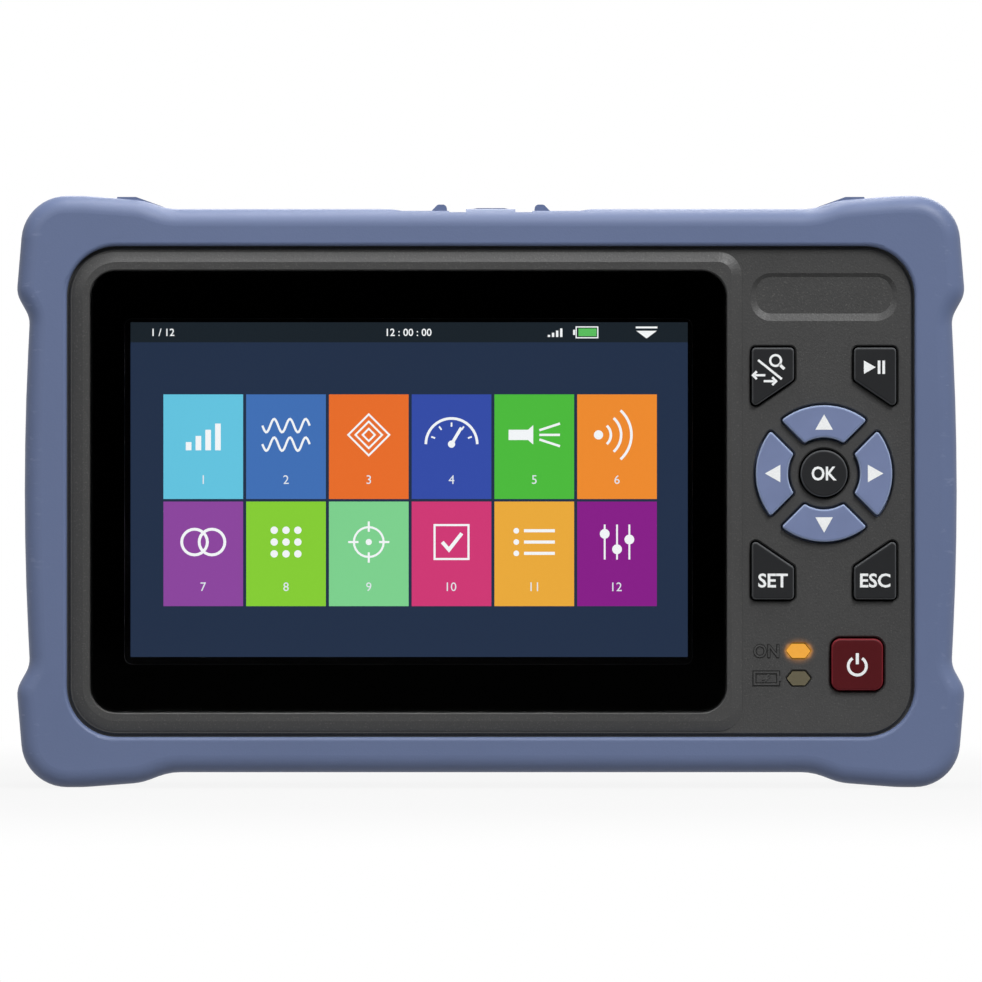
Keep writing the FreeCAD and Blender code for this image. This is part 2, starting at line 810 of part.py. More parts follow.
# ---- Keypad outlines ----
def arrow_face(turn):
    """Hole of one arrow key: a quarter of a ring, less half a bar along each straight side."""
    offset = arrow_bar / 2

    def at(radius, angle):
        return Vector(radius * math.cos(angle), 0, radius * math.sin(angle))

    outer = math.pi / 4 + math.asin(offset / arrow_outer)
    inner = math.pi / 4 + math.asin(offset / arrow_inner)
    ends = [at(arrow_outer, outer), at(arrow_outer, math.pi - outer)]
    starts = [at(arrow_inner, math.pi - inner), at(arrow_inner, inner)]
    wire = Part.Wire(
        [
            Part.Arc(ends[0], at(arrow_outer, math.pi / 2), ends[1]).toShape(),
            Part.LineSegment(ends[1], starts[0]).toShape(),
            Part.Arc(starts[0], at(arrow_inner, math.pi / 2), starts[1]).toShape(),
            Part.LineSegment(starts[1], ends[0]).toShape(),
        ]
    )
    face = Part.Face(wire).makeOffset2D(-arrow_corner).makeOffset2D(arrow_corner)
    face.rotate(Vector(0, 0, 0), Vector(0, 1, 0), turn)
    face.translate(Vector(keypad_x, 0, dpad_z))
    return face


def side_key_face(side, up):
    """Hole of a corner key, whose slanted end follows the round pad."""
    corners = [
        (side_key_inner, side_key_far),
        (side_key_outer, side_key_far),
        (side_key_outer, side_key_tip),
        (side_key_inner, side_key_near),
    ]
    return rounded_face([(keypad_x + side * x, dpad_z + up * z, side_key_corner) for x, z in corners])


def lens_face(z, inset=0.0):
    """Six-sided outline of an indicator lens."""
    half = lens_width / 2
    flat = half - lens_height / 2 * 0.8
    rise = lens_height / 2
    corners = [(-half, 0), (-flat, rise), (flat, rise), (half, 0), (flat, -rise), (-flat, -rise)]
    face = rounded_face([(lens_x + x, z + up, 0.4) for x, up in corners])
    return face.makeOffset2D(-inset) if inset else face


ok_ring = Part.Wire([Part.makeCircle(ok_hole, Vector(keypad_x, 0, dpad_z), Vector(0, -1, 0))])
key_holes = {
    "key_ok": Part.Face(ok_ring),
    "key_up": arrow_face(0),
    "key_right": arrow_face(90),
    "key_down": arrow_face(180),
    "key_left": arrow_face(270),
    "key_zoom": side_key_face(-1, 1),
    "key_run": side_key_face(1, 1),
    "key_set": side_key_face(-1, -1),
    "key_escape": side_key_face(1, -1),
    "key_power": rounded_face(
        rectangle(power_key_x, power_key_z, power_key, power_key, power_key_corner)
    ),
}


def key_middle(face):
    """Where a key's plunger stands."""
    return face.CenterOfMass


def make_key(face):
    """Key cap through its hole, a flange that keeps it in, and a plunger over its dome."""
    top = panel_y - key_proud
    cap = thicken(face.makeOffset2D(-key_gap), top, inner_front)
    cap = cap.makeFillet(key_round, edges_at(cap, "Y", top))
    flange = thicken(face.makeOffset2D(flange_reach), inner_front, flange_back)
    middle = key_middle(face)
    tip = keypad_board_y - dome_height - key_travel - stop_gap / 2
    plunger = rod_y(middle.x, middle.z, plunger_radius, flange_back, tip)
    return fused(cap, flange, plunger)


# ---- Display stack ----
def make_frame(outer, inner, y0, y1):
    """Flat frame between two rounded outlines."""
    return slab(outer, y0, y1).cut(slab(inner, y0, y1))


def make_bracket():
    """Sheet that holds the display module, with a hole for each screw."""
    sheet = slab(
        rectangle(
            glass_x,
            mid_z,
            lcd_width - 2 * bracket_inset,
            2 * (bracket_screw_z + bracket_edge),
            3.0,
        ),
        bracket_y,
        bracket_y + bracket_thick,
    )
    window = slab(
        rectangle(glass_x, mid_z, lcd_width * 0.7, lcd_height * 0.6, 4.0),
        bracket_y,
        bracket_y + bracket_thick,
    )
    holes = [rod_y(x, z, small_screw, bracket_y, bracket_y + bracket_thick) for x, z in bracket_places]
    return sheet.cut([window] + holes)


# ---- Keypad layers ----
board_half = case_z - case_screw_in - boss_radius - board_gap
keypad_layer = rectangle(
    keypad_x, mid_z, 2 * (keypad_screw_x + keypad_board_edge), 2 * board_half, 1.5
)


def make_mat():
    """Soft sheet under the keys, open round every plunger and light pipe."""
    sheet = slab(keypad_layer, mat_y, keypad_board_y)
    holes = [
        rod_y(key_middle(f).x, key_middle(f).z, dome_radius + plunger_gap, mat_y, keypad_board_y)
        for f in key_holes.values()
    ]
    holes += [thicken(lens_face(z), mat_y, keypad_board_y) for z in lens_z]
    holes += [rod_y(x, z, small_screw, mat_y, keypad_board_y) for x, z in keypad_places]
    return sheet.cut(holes)


def make_keypad_board():
    """Printed board that carries the domes."""
    end = keypad_board_y + board_thick
    sheet = slab(keypad_layer, keypad_board_y, end)
    return sheet.cut([rod_y(x, z, small_screw, keypad_board_y, end) for x, z in keypad_places])


def make_dome(face):
    """Snap dome: a shallow cone with a flat crown on the board."""
    middle = key_middle(face)
    foot = Vector(middle.x, keypad_board_y, middle.z)
    return Part.makeCone(dome_radius, dome_crown, dome_height, foot, Vector(0, -1, 0))


# ---- Port covers ----
def make_cover():
    """Right-hand cover: slab with a rolled hinge end, a pull tab and a sealing skirt."""
    body = block((cover_inner, hinge_x), (-cover_half, cover_half), (cover_bottom, cover_top))
    rim = edges_at(body, "Z", cover_top, lambda box: box.XMin < hinge_x - 1)
    body = body.makeFillet(cover_thick / 4, rim).cut(finger_space(1, cover_inner, cover_top))
    roll = rod_y(hinge_x, hinge_z, cover_thick / 2, -cover_half, cover_half)
    rise = cover_top + tab_height
    outline = [
        (cover_inner, hinge_z),
        (cover_inner, rise),
        (cover_inner + tab_top, rise),
        (cover_inner + tab_length, cover_top - finger_dip),
        (cover_inner + tab_length, hinge_z),
    ]
    tab = flat_prism(outline, -tab_half, tab_half)
    tab = tab.makeFillet(tab_round, edges_at(tab, "Z", rise, lambda box: box.YLength > tab_half))
    low = cover_bottom - skirt_depth
    skirt = bay_hole(1, low, cover_bottom, -skirt_gap)
    skirt = skirt.cut(bay_hole(1, low, cover_bottom, -skirt_gap - skirt_thick))
    return fused(body, roll, tab, skirt)


# ---- Port tray and sockets ----
def socket_block(x, width, deep, z0, margin=0.0):
    """Outer shape of a socket that stands on the front of the main board."""
    return block(
        (x - width / 2 - margin, x + width / 2 + margin),
        (main_board_y - deep - margin, main_board_y + margin),
        (z0, bay_z),
    )


def make_tray():
    """Tray with a bay on each side, its floor open for the sockets and barrels."""
    outer = bay_outer + bay_wall
    half = bay_half + bay_wall
    body = block((-outer, outer), (-half, half), (tray_bottom, tray_top))
    web = bay_inner - bay_wall
    holes = [bay_hole(side, bay_z, tray_top) for side in (-1, 1)]
    holes.append(block((-web, web), (-bay_half, bay_half), (tray_bottom, tray_top - bay_wall)))
    holes += [rod_z(x, 0, port_shank, tray_bottom, bay_z) for x in port_x]
    holes.append(socket_block(network_x, network_width, network_deep, tray_bottom, sill_gap))
    holes.append(socket_block(usb_x, usb_outer, usb_deep + 2 * usb_shell, tray_bottom, sill_gap))
    holes.append(socket_block(charge_x, charge_width, charge_deep, tray_bottom, sill_gap))
    return body.cut(holes)


def make_port(x, radius):
    """Optical port: threaded barrel with a key slot, square flange and a shank down to the module."""
    top = bay_z + barrel_height
    half = port_flange / 2
    flange = block((x - half, x + half), (-half, half), (bay_z, bay_z + port_flange_thick))
    flange = flange.makeFillet(1.2, [e for e in flange.Edges if e.BoundBox.ZLength > 1])
    barrel = rod_z(x, 0, radius, bay_z, top)
    shank = rod_z(x, 0, port_shank, tray_bottom - nut_thick - 1, bay_z)
    nose = rod_z(x, 0, port_shank - 1.4, module_top, tray_bottom - nut_thick - 1)
    slot = block((x - 1.05, x + 1.05), (-2 * radius, 0), (top - 3, top))
    bore = rod_z(x, 0, sleeve_outer, top - sleeve_drop - ferrule_depth - stub_length, top)
    mouth = rod_z(x, 0, sleeve_outer + 0.9, top - sleeve_drop - 2, top)
    return fused(flange, barrel, shank, nose).cut([slot, bore, mouth])


def make_sleeve(x):
    """Ceramic sleeve that centres a plug's ferrule."""
    top = bay_z + barrel_height - sleeve_drop
    outer = rod_z(x, 0, sleeve_outer, top - ferrule_depth, top)
    return outer.cut(rod_z(x, 0, ferrule_radius, top - ferrule_depth, top))


def make_stub(x):
    """Fixed ferrule or detector under a sleeve, where the plug's ferrule ends."""
    top = bay_z + barrel_height - sleeve_drop - ferrule_depth
    stub = rod_z(x, 0, sleeve_outer, top - stub_length, top)
    return stub.makeChamfer(0.3, edges_at(stub, "Z", top))


def make_nut(x):
    """Hexagon nut that clamps a port to the tray's floor."""
    corner = nut_across / math.sqrt(3)
    ring = [
        Vector(x + corner * math.cos(a), corner * math.sin(a), tray_bottom - nut_thick)
        for a in [math.radians(30 + 60 * i) for i in range(7)]
    ]
    body = Part.Face(Part.makePolygon(ring)).extrude(Vector(0, 0, nut_thick))
    return body.cut(rod_z(x, 0, port_shank, tray_bottom - nut_thick, tray_bottom))


def network_cavity():
    """Plug space of the network socket, with the stepped channel for the plug's latch."""
    low = bay_z - network_reach
    middle = main_board_y - network_deep / 2 + network_latch_deep / 2
    half = network_plug_deep / 2
    plug = block(
        (network_x - network_plug_width / 2, network_x + network_plug_width / 2),
        (middle - half, middle + half),
        (low, bay_z),
    )
    latch = block(
        (network_x - network_latch_width / 2, network_x + network_latch_width / 2),
        (middle - half - network_latch_deep, middle - half),
        (low, bay_z),
    )
    return fused(plug, latch)


def make_network_contacts():
    """Row of contact wires along the back of the network socket, sloping into its cavity."""
    wires = []
    middle = main_board_y - network_deep / 2 + network_latch_deep / 2
    wall_y = middle + network_plug_deep / 2
    low = bay_z - network_reach
    for i in range(contact_count):
        x = network_x + (i - (contact_count - 1) / 2) * contact_pitch
        side_view = [
            Vector(x - contact_width / 2, wall_y, low),
            Vector(x - contact_width / 2, wall_y, low + 9),
            Vector(x - contact_width / 2, wall_y - 1.6, low + 1.2),
            Vector(x - contact_width / 2, wall_y - 1.6, low),
        ]
        face = Part.Face(Part.makePolygon(side_view + side_view[:1]))
        wires.append(face.extrude(Vector(contact_width, 0, 0)))
    return wires


def make_usb_shell():
    """Rounded metal shell of the data socket."""
    deep = usb_deep + 2 * usb_shell
    body = socket_block(usb_x, usb_outer, deep, bay_z - usb_long)
    body = body.makeFillet(deep / 2 - 0.05, [e for e in body.Edges if e.BoundBox.ZLength > 1])
    room = block(
        (usb_x - usb_width / 2, usb_x + usb_width / 2),
        (main_board_y - usb_shell - usb_deep, main_board_y - usb_shell),
        (bay_z - usb_long + 1, bay_z),
    )
    room = room.makeFillet(usb_deep / 2 - 0.05, [e for e in room.Edges if e.BoundBox.ZLength > 1])
    return body.cut(room)


def make_usb_tongue():
    """Contact tongue inside the data socket."""
    middle = main_board_y - usb_shell - usb_deep / 2
    return block(
        (usb_x - tongue_width / 2, usb_x + tongue_width / 2),
        (middle - tongue_thick / 2, middle + tongue_thick / 2),
        (bay_z - usb_long + 1, bay_z - 1),
    )


def make_charge_jack():
    """Block of the charging socket, bored for its plug."""
    body = socket_block(charge_x, charge_width, charge_deep, bay_z - charge_long)
    return body.cut(rod_z(charge_x, charge_pin_y, charge_bore, bay_z - charge_reach, bay_z))


# ---- Back ----
def make_stand():
    """Swing-out stand: a paddle with a window, rolled round its pins at the top."""
    plate = thicken(stand_face(0), rear_y - stand_thick, rear_y)
    plate = plate.cut(
        block((-stand_width, stand_width), (0, back), (stand_pin_z, stand_pin_z + stand_length))
    )
    half = stand_width / 2
    barrel = rod_x(stand_pin_y, stand_pin_z, stand_barrel, -half, half)
    window_z = stand_pin_z - stand_length / 2 + 1
    window = slab(
        rectangle(0, window_z, stand_window_width, stand_window_height, 3.0), rear_y - stand_thick, rear_y
    )
    body = fused(plate, barrel).cut(window)
    bore = stand_pin_radius + pin_gap
    deep = stand_pin_length / 2
    ends = [rod_x(stand_pin_y, stand_pin_z, bore, start, start + deep) for start in (-half, half - deep)]
    return body.cut(ends)


def make_stand_pin(side):
    """Pin at one end of the stand, half in the stand and half in the case."""
    start = side * stand_width / 2 - stand_pin_length / 2
    inside = pin_gap if side > 0 else 0.0
    outside = pin_gap if side < 0 else 0.0
    return rod_x(
        stand_pin_y, stand_pin_z, stand_pin_radius, start + inside, start + stand_pin_length - outside
    )


def make_battery():
    """Two cells end to end in a wrap."""
    half = battery_length / 2
    y = door_ledge - battery_gap - battery_radius
    body = rod_x(y, battery_z, battery_radius, -half, half)
    return body.makeFillet(1.0, [e for e in body.Edges if e.BoundBox.XLength < 0.01])


def make_door():
    """Battery door with two screw holes and a shallow grip."""
    body = slab(rectangle(0, battery_z, door_width, door_height, door_corner), door_ledge, rear_y)
    holes = [rod_y(x, z, small_screw, door_ledge, rear_y) for x, z in door_screw_places]
    holes += [rod_y(x, z, small_head, rear_y - small_head_height, rear_y) for x, z in door_screw_places]
    for i in range(5):
        holes.append(
            slab(
                rectangle(0, battery_z - 6 + 3 * i, 24 - 3 * abs(i - 2), 1.4, 0.6), rear_y - 0.7, rear_y
            )
        )
    return body.cut(holes)


# ---- Write every sub-part ----
save("protective_boot", make_boot())
save("front_shell", make_front_shell())
save("rear_shell", make_rear_shell())
save("case_gasket", gasket_ring(split_y - gasket_height, split_y))
save(
    "case_screws",
    *[
        screw(x, z, screw_radius, screw_head, head_height, rear_y - screw_sink, split_y - screw_bite)
        for x, z in case_screw_places
    ],
)

glass_outline = rectangle(glass_x, mid_z, glass_width, glass_height, glass_corner)
window_outline = rectangle(glass_x, mid_z, window_width, window_height, window_corner)
glass = slab(glass_outline, glass_y, tape_y)
save("touch_glass", glass.makeChamfer(0.35, edges_at(glass, "Y", glass_y)))
save("glass_tape", make_frame(glass_outline, window_outline, tape_y, ledge_y))
lcd_outline = rectangle(glass_x, mid_z, lcd_width, lcd_height, 1.0)
save("display_foam", make_frame(lcd_outline, window_outline, inner_front, lcd_y))
save("display_module", slab(lcd_outline, lcd_y, bracket_y))
save("display_bracket", make_bracket())

for name, hole in key_holes.items():
    save(name, make_key(hole))
save("keypad_mat", make_mat())
save("keypad_board", make_keypad_board())
save("snap_domes", *[make_dome(hole) for hole in key_holes.values()])
for name, z in zip(("power_light_pipe", "charge_light_pipe"), lens_z):
    save(name, thicken(lens_face(z, lens_gap), panel_y - 0.2, keypad_board_y))

save(
    "board_screws",
    *[
        screw(x, z, small_screw, small_head, small_head_height, y + small_head_height, y - small_bite)
        for places, y in (
            (bracket_places, bracket_y + bracket_thick),
            (keypad_places, keypad_board_y + board_thick),
        )
        for x, z in places
    ],
    *[
        screw(
            x,
            z,
            small_screw,
            small_head,
            small_head_height,
            main_board_y - small_head_height,
            main_board_end + small_bite,
        )
        for x, z in board_places
    ],
)

cover_right = make_cover()
save("port_cover_right", cover_right)
save("port_cover_left", mirrored(cover_right))
save("cover_anchors", make_anchor(-1), make_anchor(1))
save("port_tray", make_tray())

port_radii = (barrel_radius, barrel_radius, laser_barrel_radius)
for name, x, radius in zip(("otdr_port", "meter_port", "laser_port"), port_x, port_radii):
    save(name, make_port(x, radius))
    save(name + "_sleeve", make_sleeve(x))
for name, x in zip(("otdr_port_ferrule", "meter_port_detector", "laser_port_ferrule"), port_x):
    save(name, make_stub(x))
save("port_nuts", *[make_nut(x) for x in port_x])

network = socket_block(network_x, network_width, network_deep, bay_z - network_long)
save("network_jack", network.cut(network_cavity()))
save("network_contacts", *make_network_contacts())
save("usb_socket", make_usb_shell())
save("usb_tongue", make_usb_tongue())
save("charge_jack", make_charge_jack())
save("charge_pin", rod_z(charge_x, charge_pin_y, charge_pin, bay_z - charge_reach, bay_z - 1))

main_board = block(
    (-main_board_half, main_board_half),
    (main_board_y, main_board_end),
    (main_board_bottom, main_board_top),
)
board_holes = [rod_y(x, z, small_screw, main_board_y, main_board_end) for x, z in board_places]
save("main_board", main_board.cut(board_holes))
module = block(
    (port_x[1] - module_width / 2, port_x[1] + module_width / 2),
    (main_board_y - module_depth, main_board_y),
    (module_top - module_height, module_top),
)
save("optical_module", module.makeFillet(1.0, [e for e in module.Edges if e.BoundBox.YLength > 1]))
buzzer_z = main_board_top - buzzer_drop
save("buzzer", rod_y(buzzer_x, buzzer_z, buzzer_radius, main_board_end, main_board_end + buzzer_height))

save("kickstand", make_stand())
save("kickstand_pins", make_stand_pin(-1), make_stand_pin(1))
save("battery_pack", make_battery())
save("battery_door", make_door())
save(
    "battery_door_screws",
    *[
        screw(x, z, small_screw, small_head, small_head_height, rear_y, door_ledge - small_bite)
        for x, z in door_screw_places
    ],
)
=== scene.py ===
# %% [markdown]
# # Dressing a hand-held fibre tester
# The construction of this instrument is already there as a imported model: boot, case, keys, ports,
# covers and stand, each as an object of its own at its real place. This notebook gives it its looks:
# rubber, moulded plastic, glass, a lit picture, printed legends and metal threads.
# The model is loaded first, because every new piece is placed by asking it where things are.

# %% Load the model
import math

import bpy
import numpy as np
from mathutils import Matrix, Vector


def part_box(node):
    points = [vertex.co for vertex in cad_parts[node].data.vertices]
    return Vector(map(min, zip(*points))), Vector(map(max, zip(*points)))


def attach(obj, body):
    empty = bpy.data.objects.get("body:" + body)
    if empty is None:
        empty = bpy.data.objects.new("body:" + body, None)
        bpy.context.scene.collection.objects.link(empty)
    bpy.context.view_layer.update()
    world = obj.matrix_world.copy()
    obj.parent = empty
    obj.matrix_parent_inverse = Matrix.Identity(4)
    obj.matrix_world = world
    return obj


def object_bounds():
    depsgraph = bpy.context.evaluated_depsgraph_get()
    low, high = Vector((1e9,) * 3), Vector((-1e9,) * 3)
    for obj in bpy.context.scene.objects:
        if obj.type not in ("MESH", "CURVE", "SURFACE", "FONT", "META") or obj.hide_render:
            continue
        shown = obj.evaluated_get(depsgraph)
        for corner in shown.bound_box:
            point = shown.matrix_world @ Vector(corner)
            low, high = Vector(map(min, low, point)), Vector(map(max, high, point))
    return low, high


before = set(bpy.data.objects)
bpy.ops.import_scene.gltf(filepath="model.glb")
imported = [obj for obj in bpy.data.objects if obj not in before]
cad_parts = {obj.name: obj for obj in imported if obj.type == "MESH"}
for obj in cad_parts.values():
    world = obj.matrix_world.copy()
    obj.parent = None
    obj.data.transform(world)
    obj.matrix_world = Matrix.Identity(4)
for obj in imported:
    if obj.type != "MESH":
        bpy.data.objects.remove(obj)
cad_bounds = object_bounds()
MM = 0.001

# %% [markdown]
# ## Asking the model for places
# Everything below is thought out in millimetres, as a maker would, and turned into metres only when
# a mesh is stored. A node's box gives its lowest and highest corners, which is enough to find the
# face of a key, the middle of a port or the level of the display.


# %% Boxes in millimetres
def low_corner(node):
    """Lowest x, y and z of a CAD node, in millimetres."""
    return np.array(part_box(node)[0]) / MM


def high_corner(node):
    """Highest x, y and z of a CAD node, in millimetres."""
    return np.array(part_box(node)[1]) / MM


def middle(node):
    """Middle of a CAD node's box, in millimetres."""
    return (low_corner(node) + high_corner(node)) / 2


model_low = np.array(cad_bounds[0]) / MM
model_high = np.array(cad_bounds[1]) / MM
print("the instrument measures", np.round(model_high - model_low, 2), "mm")

# %% [markdown]
# ## The camera
# The instrument is seen square from the front through a long lens, so that its sides don't show.
# A lens's focal length follows from three things: how wide the sensor is, how far away the camera
# stands and how wide a strip it should see there.

# %% Camera
CAMERA_DISTANCE = 2200.0
SEEN_WIDTH = 190.7
CAMERA_X = 0.05
CAMERA_Z = 57.6
camera_data = bpy.data.cameras.new("camera")
camera_data.sensor_width = 36.0
camera_data.lens = camera_data.sensor_width * CAMERA_DISTANCE / SEEN_WIDTH
camera = bpy.data.objects.new("camera", camera_data)
camera.location = (CAMERA_X * MM, (model_low[1] - CAMERA_DISTANCE) * MM, CAMERA_Z * MM)
camera.rotation_euler = (math.radians(90), 0, 0)
bpy.context.scene.collection.objects.link(camera)
bpy.context.scene.camera = camera
bpy.context.scene.view_settings.view_transform = "Standard"
print("lens", round(camera_data.lens), "mm")

# %% [markdown]
# ## Shader sums written as Python
# A procedural material is a sum of patterns. Node by node that is long to write, so a small class
# stands for one output of a node, and + - * ** on it add the Math nodes. The reflected forms let a
# plain number stand on the left, as in 1 - mask. Colours are never added this way: a Math node
# turns them grey, so they go through a Mix node.


# %% Wires and finishes
class Wire:
    """One output of a shader node that can be used in sums."""

    def __init__(self, finish, socket):
        self.finish = finish
        self.socket = socket

    def math(self, operation, first, second):
        """Adds a Math node with two inputs, each a wire or a number."""
        return self.finish.node("ShaderNodeMath", {"operation": operation}, {0: first, 1: second})[0]

    def __add__(self, other):
        return self.math("ADD", self, other)

    def __radd__(self, other):
        return self.math("ADD", other, self)

    def __sub__(self, other):
        return self.math("SUBTRACT", self, other)

    def __rsub__(self, other):
        return self.math("SUBTRACT", other, self)

    def __mul__(self, other):
        return self.math("MULTIPLY", self, other)

    def __rmul__(self, other):
        return self.math("MULTIPLY", other, self)

    def __pow__(self, other):
        return self.math("POWER", self, other)

    def __abs__(self):
        return self.math("ABSOLUTE", self, 0.0)


class Outputs:
    """The outputs of one node, by name or number."""

    def __init__(self, finish, node):
        self.finish = finish
        self.node = node

    def __getitem__(self, key):
        return Wire(self.finish, self.node.outputs[key])


class Finish:
    """A node tree under construction, for a material or for the world."""

    def __init__(self, owner):
        owner.use_nodes = True
        self.owner = owner
        self.tree = owner.node_tree
        self.tree.nodes.clear()

    def node(self, kind, settings=None, inputs=None):
        """Adds a node: its type, its settings, then the values or links of its sockets."""
        node = self.tree.nodes.new(kind)
        for key, value in (settings or {}).items():
            setattr(node, key, value)
        for key, value in (inputs or {}).items():
            if isinstance(value, Wire):
                self.tree.links.new(value.socket, node.inputs[key])
            else:
                node.inputs[key].default_value = value
        return Outputs(self, node)

    def place(self):
        """Where a point lies on the object, in metres from the object's origin."""
        return self.node("ShaderNodeTexCoord")["Object"]

    def along(self, axis):
        """One coordinate of the point, in millimetres: X, Y or Z."""
        return self.node("ShaderNodeSeparateXYZ", None, {0: self.place()})[axis] * (1 / MM)

    def noise(self, size, detail=2.0, stretch=(1, 1, 1)):
        """Cloudy pattern from 0 to 1 whose patches are about that many millimetres wide."""
        spread = self.node("ShaderNodeMapping", None, {"Vector": self.place(), "Scale": stretch})
        settings = {"Vector": spread[0], "Scale": 1 / (size * MM), "Detail": detail}
        return self.node("ShaderNodeTexNoise", None, settings)[0]

    def cells(self, size):
        """Distance to the nearest of many scattered points, about that many millimetres apart."""
        settings = {"Vector": self.place(), "Scale": 1 / (size * MM)}
        return self.node("ShaderNodeTexVoronoi", None, settings)["Distance"]

    def step(self, value, start, end):
        """Soft step: 0 below start, 1 above end."""
        settings = {"interpolation_type": "SMOOTHSTEP"}
        inputs = {"Value": value, "From Min": start, "From Max": end}
        return self.node("ShaderNodeMapRange", settings, inputs)[0]

    def blend(self, mask, first, second):
        """First colour where the mask is 0, second where it is 1."""
        settings = {"data_type": "RGBA"}
        return self.node("ShaderNodeMix", settings, {0: mask, 6: first, 7: second})[2]

    def bump(self, height, depth, strength=1.0):
        """Surface normal tilted by a height pattern that is that many millimetres deep."""
        inputs = {"Height": height, "Distance": depth * MM, "Strength": strength}
        return self.node("ShaderNodeBump", None, inputs)[0]

    def edges(self):
        """Mask of rounded edges: 0 on faces square to the user, 1 where the surface turns away."""
        normal = self.node("ShaderNodeTexCoord")["Normal"]
        facing = self.node("ShaderNodeSeparateXYZ", None, {0: normal})["Y"]
        return self.step(1 - abs(facing), 0.02, 0.30)

    def close(self, **inputs):
        """Ends the material with one principled shader, its sockets named with underscores."""
        named = {key.replace("_", " "): value for key, value in inputs.items()}
        shader = self.node("ShaderNodeBsdfPrincipled", None, named)
        self.node("ShaderNodeOutputMaterial", None, {"Surface": shader[0]})
        return self.owner


def start_finish(name):
    """An empty material to build on."""
    return Finish(bpy.data.materials.new(name))


def seen(red, green, blue, share=1.0):
    """A colour as it is seen on a screen, 0 to 255, turned into the linear colour of a shader."""
    parts = [value / 255 for value in (red, green, blue)]
    linear = [p / 12.92 if p <= 0.04045 else ((p + 0.055) / 1.055) ** 2.4 for p in parts]
    return tuple(share * value for value in linear) + (1.0,)


print("helpers ready")

# %% [markdown]
# ## The light and the floor
# The object stands on a white table in a white room. A white world seen by the camera and by
# mirrors keeps the background clean, and a softer world lights the object itself. A strip overhead
# gives the bright upper edges, a key lamp from the upper right models the slopes, and two weak
# lamps fill the front and the back.
# The floor is mostly plain white, with enough of a matt surface mixed in to hold a faint shadow.

# %% World
room = Finish(bpy.data.worlds.new("room"))
bpy.context.scene.world = room.owner
ray = room.node("ShaderNodeLightPath")
shown = room.node("ShaderNodeMath", {"operation": "MAXIMUM"}, {0: ray[0], 1: ray["Is Transmission Ray"]})
shown = room.node("ShaderNodeMath", {"operation": "MAXIMUM"}, {0: shown[0], 1: ray["Is Glossy Ray"]})
AMBIENT = 0.20
white_room = room.node("ShaderNodeBackground", None, {"Color": (1, 1, 1, 1), "Strength": 1.0})
soft_room = room.node("ShaderNodeBackground", None, {"Color": (1, 1, 1, 1), "Strength": AMBIENT})
sky = room.node("ShaderNodeMixShader", None, {0: shown[0], 1: soft_room[0], 2: white_room[0]})
room.node("ShaderNodeOutputWorld", None, {"Surface": sky[0]})
print("ambient level", AMBIENT)


# %% Lamps
def softbox(name, place, target, width, height, watts):
    """Rectangular lamp at a place in millimetres, turned towards a target."""
    data = bpy.data.lights.new(name, "AREA")
    data.shape = "RECTANGLE"
    data.size = width * MM
    data.size_y = height * MM
    data.energy = watts
    lamp = bpy.data.objects.new(name, data)
    lamp.location = np.array(place) * MM
    way = Vector(target) - Vector(place)
    lamp.rotation_euler = way.to_track_quat("-Z", "Y").to_euler()
    lamp.visible_camera = False
    bpy.context.scene.collection.objects.link(lamp)
    return lamp


centre = (model_low + model_high) / 2
softbox("strip_above", (-20, 10, 420), centre, 420, 60, 1.15)
softbox("key_lamp", (700, -1200, 1400), centre, 600, 600, 31.0)
softbox("front_fill", (-700, -1500, 800), centre, 800, 800, 7.0)
softbox("back_fill", (300, 1500, 900), centre, 1200, 900, 12.0)
print("four lamps")


# %% Floor
def store_mesh(name, points, faces):
    """A mesh from points in millimetres, as an array of x, y, z, and lists of corners."""
    mesh = bpy.data.meshes.new(name)
    mesh.from_pydata(np.asarray(points) * MM, [], faces)
    mesh.update()
    return mesh


def add_object(name, mesh):
    """An object at the origin, with its place in its mesh."""
    piece = bpy.data.objects.new(name, mesh)
    bpy.context.scene.collection.objects.link(piece)
    return piece


FLOOR_RADIUS = 9000.0
FLOOR_DROP = 0.2
turn = np.linspace(0, 2 * math.pi, 96, endpoint=False)
rim = np.stack([FLOOR_RADIUS * np.cos(turn), FLOOR_RADIUS * np.sin(turn), 0 * turn - FLOOR_DROP], axis=1)
floor = add_object("floor", store_mesh("floor", rim, [list(range(len(turn)))]))
table = start_finish("white_table")
glow = table.node("ShaderNodeEmission", None, {"Color": (1, 1, 1, 1), "Strength": 1.0})
matt = table.node("ShaderNodeBsdfDiffuse", None, {"Color": (0.3, 0.3, 0.3, 1)})
path = table.node("ShaderNodeLightPath")
plain = table.node("ShaderNodeMath", {"operation": "MAXIMUM"}, {0: path[0], 1: path["Is Transmission Ray"]})
plain = table.node("ShaderNodeMath", {"operation": "MAXIMUM"}, {0: plain[0], 1: path["Is Glossy Ray"]})
WHITE_NEAR = 0.90
SHADOW_REACH = 420.0
from_middle = (table.along("X") ** 2.0 + table.along("Y") ** 2.0) ** 0.5
white_share = WHITE_NEAR + (1 - WHITE_NEAR) * table.step(from_middle, 120.0, SHADOW_REACH)
top = table.node("ShaderNodeMixShader", None, {0: plain[0] * white_share, 1: matt[0], 2: glow[0]})
table.node("ShaderNodeOutputMaterial", None, {"Surface": top[0]})
floor.data.materials.append(table.owner)
print("floor", FLOOR_RADIUS / 1000, "m in radius")

# %% [markdown]
# ## A dark card behind the camera
# Polished glass mirrors what stands in front of it. To keep a black screen black, a studio hangs a
# dark card behind the camera and runs it forward over the table, below the lens, almost up to the
# object. The card is a piece of the studio: only mirrors see it, and it throws no shadow. Seen
# from high up, the card's near edge shows in the glass as a straight line.

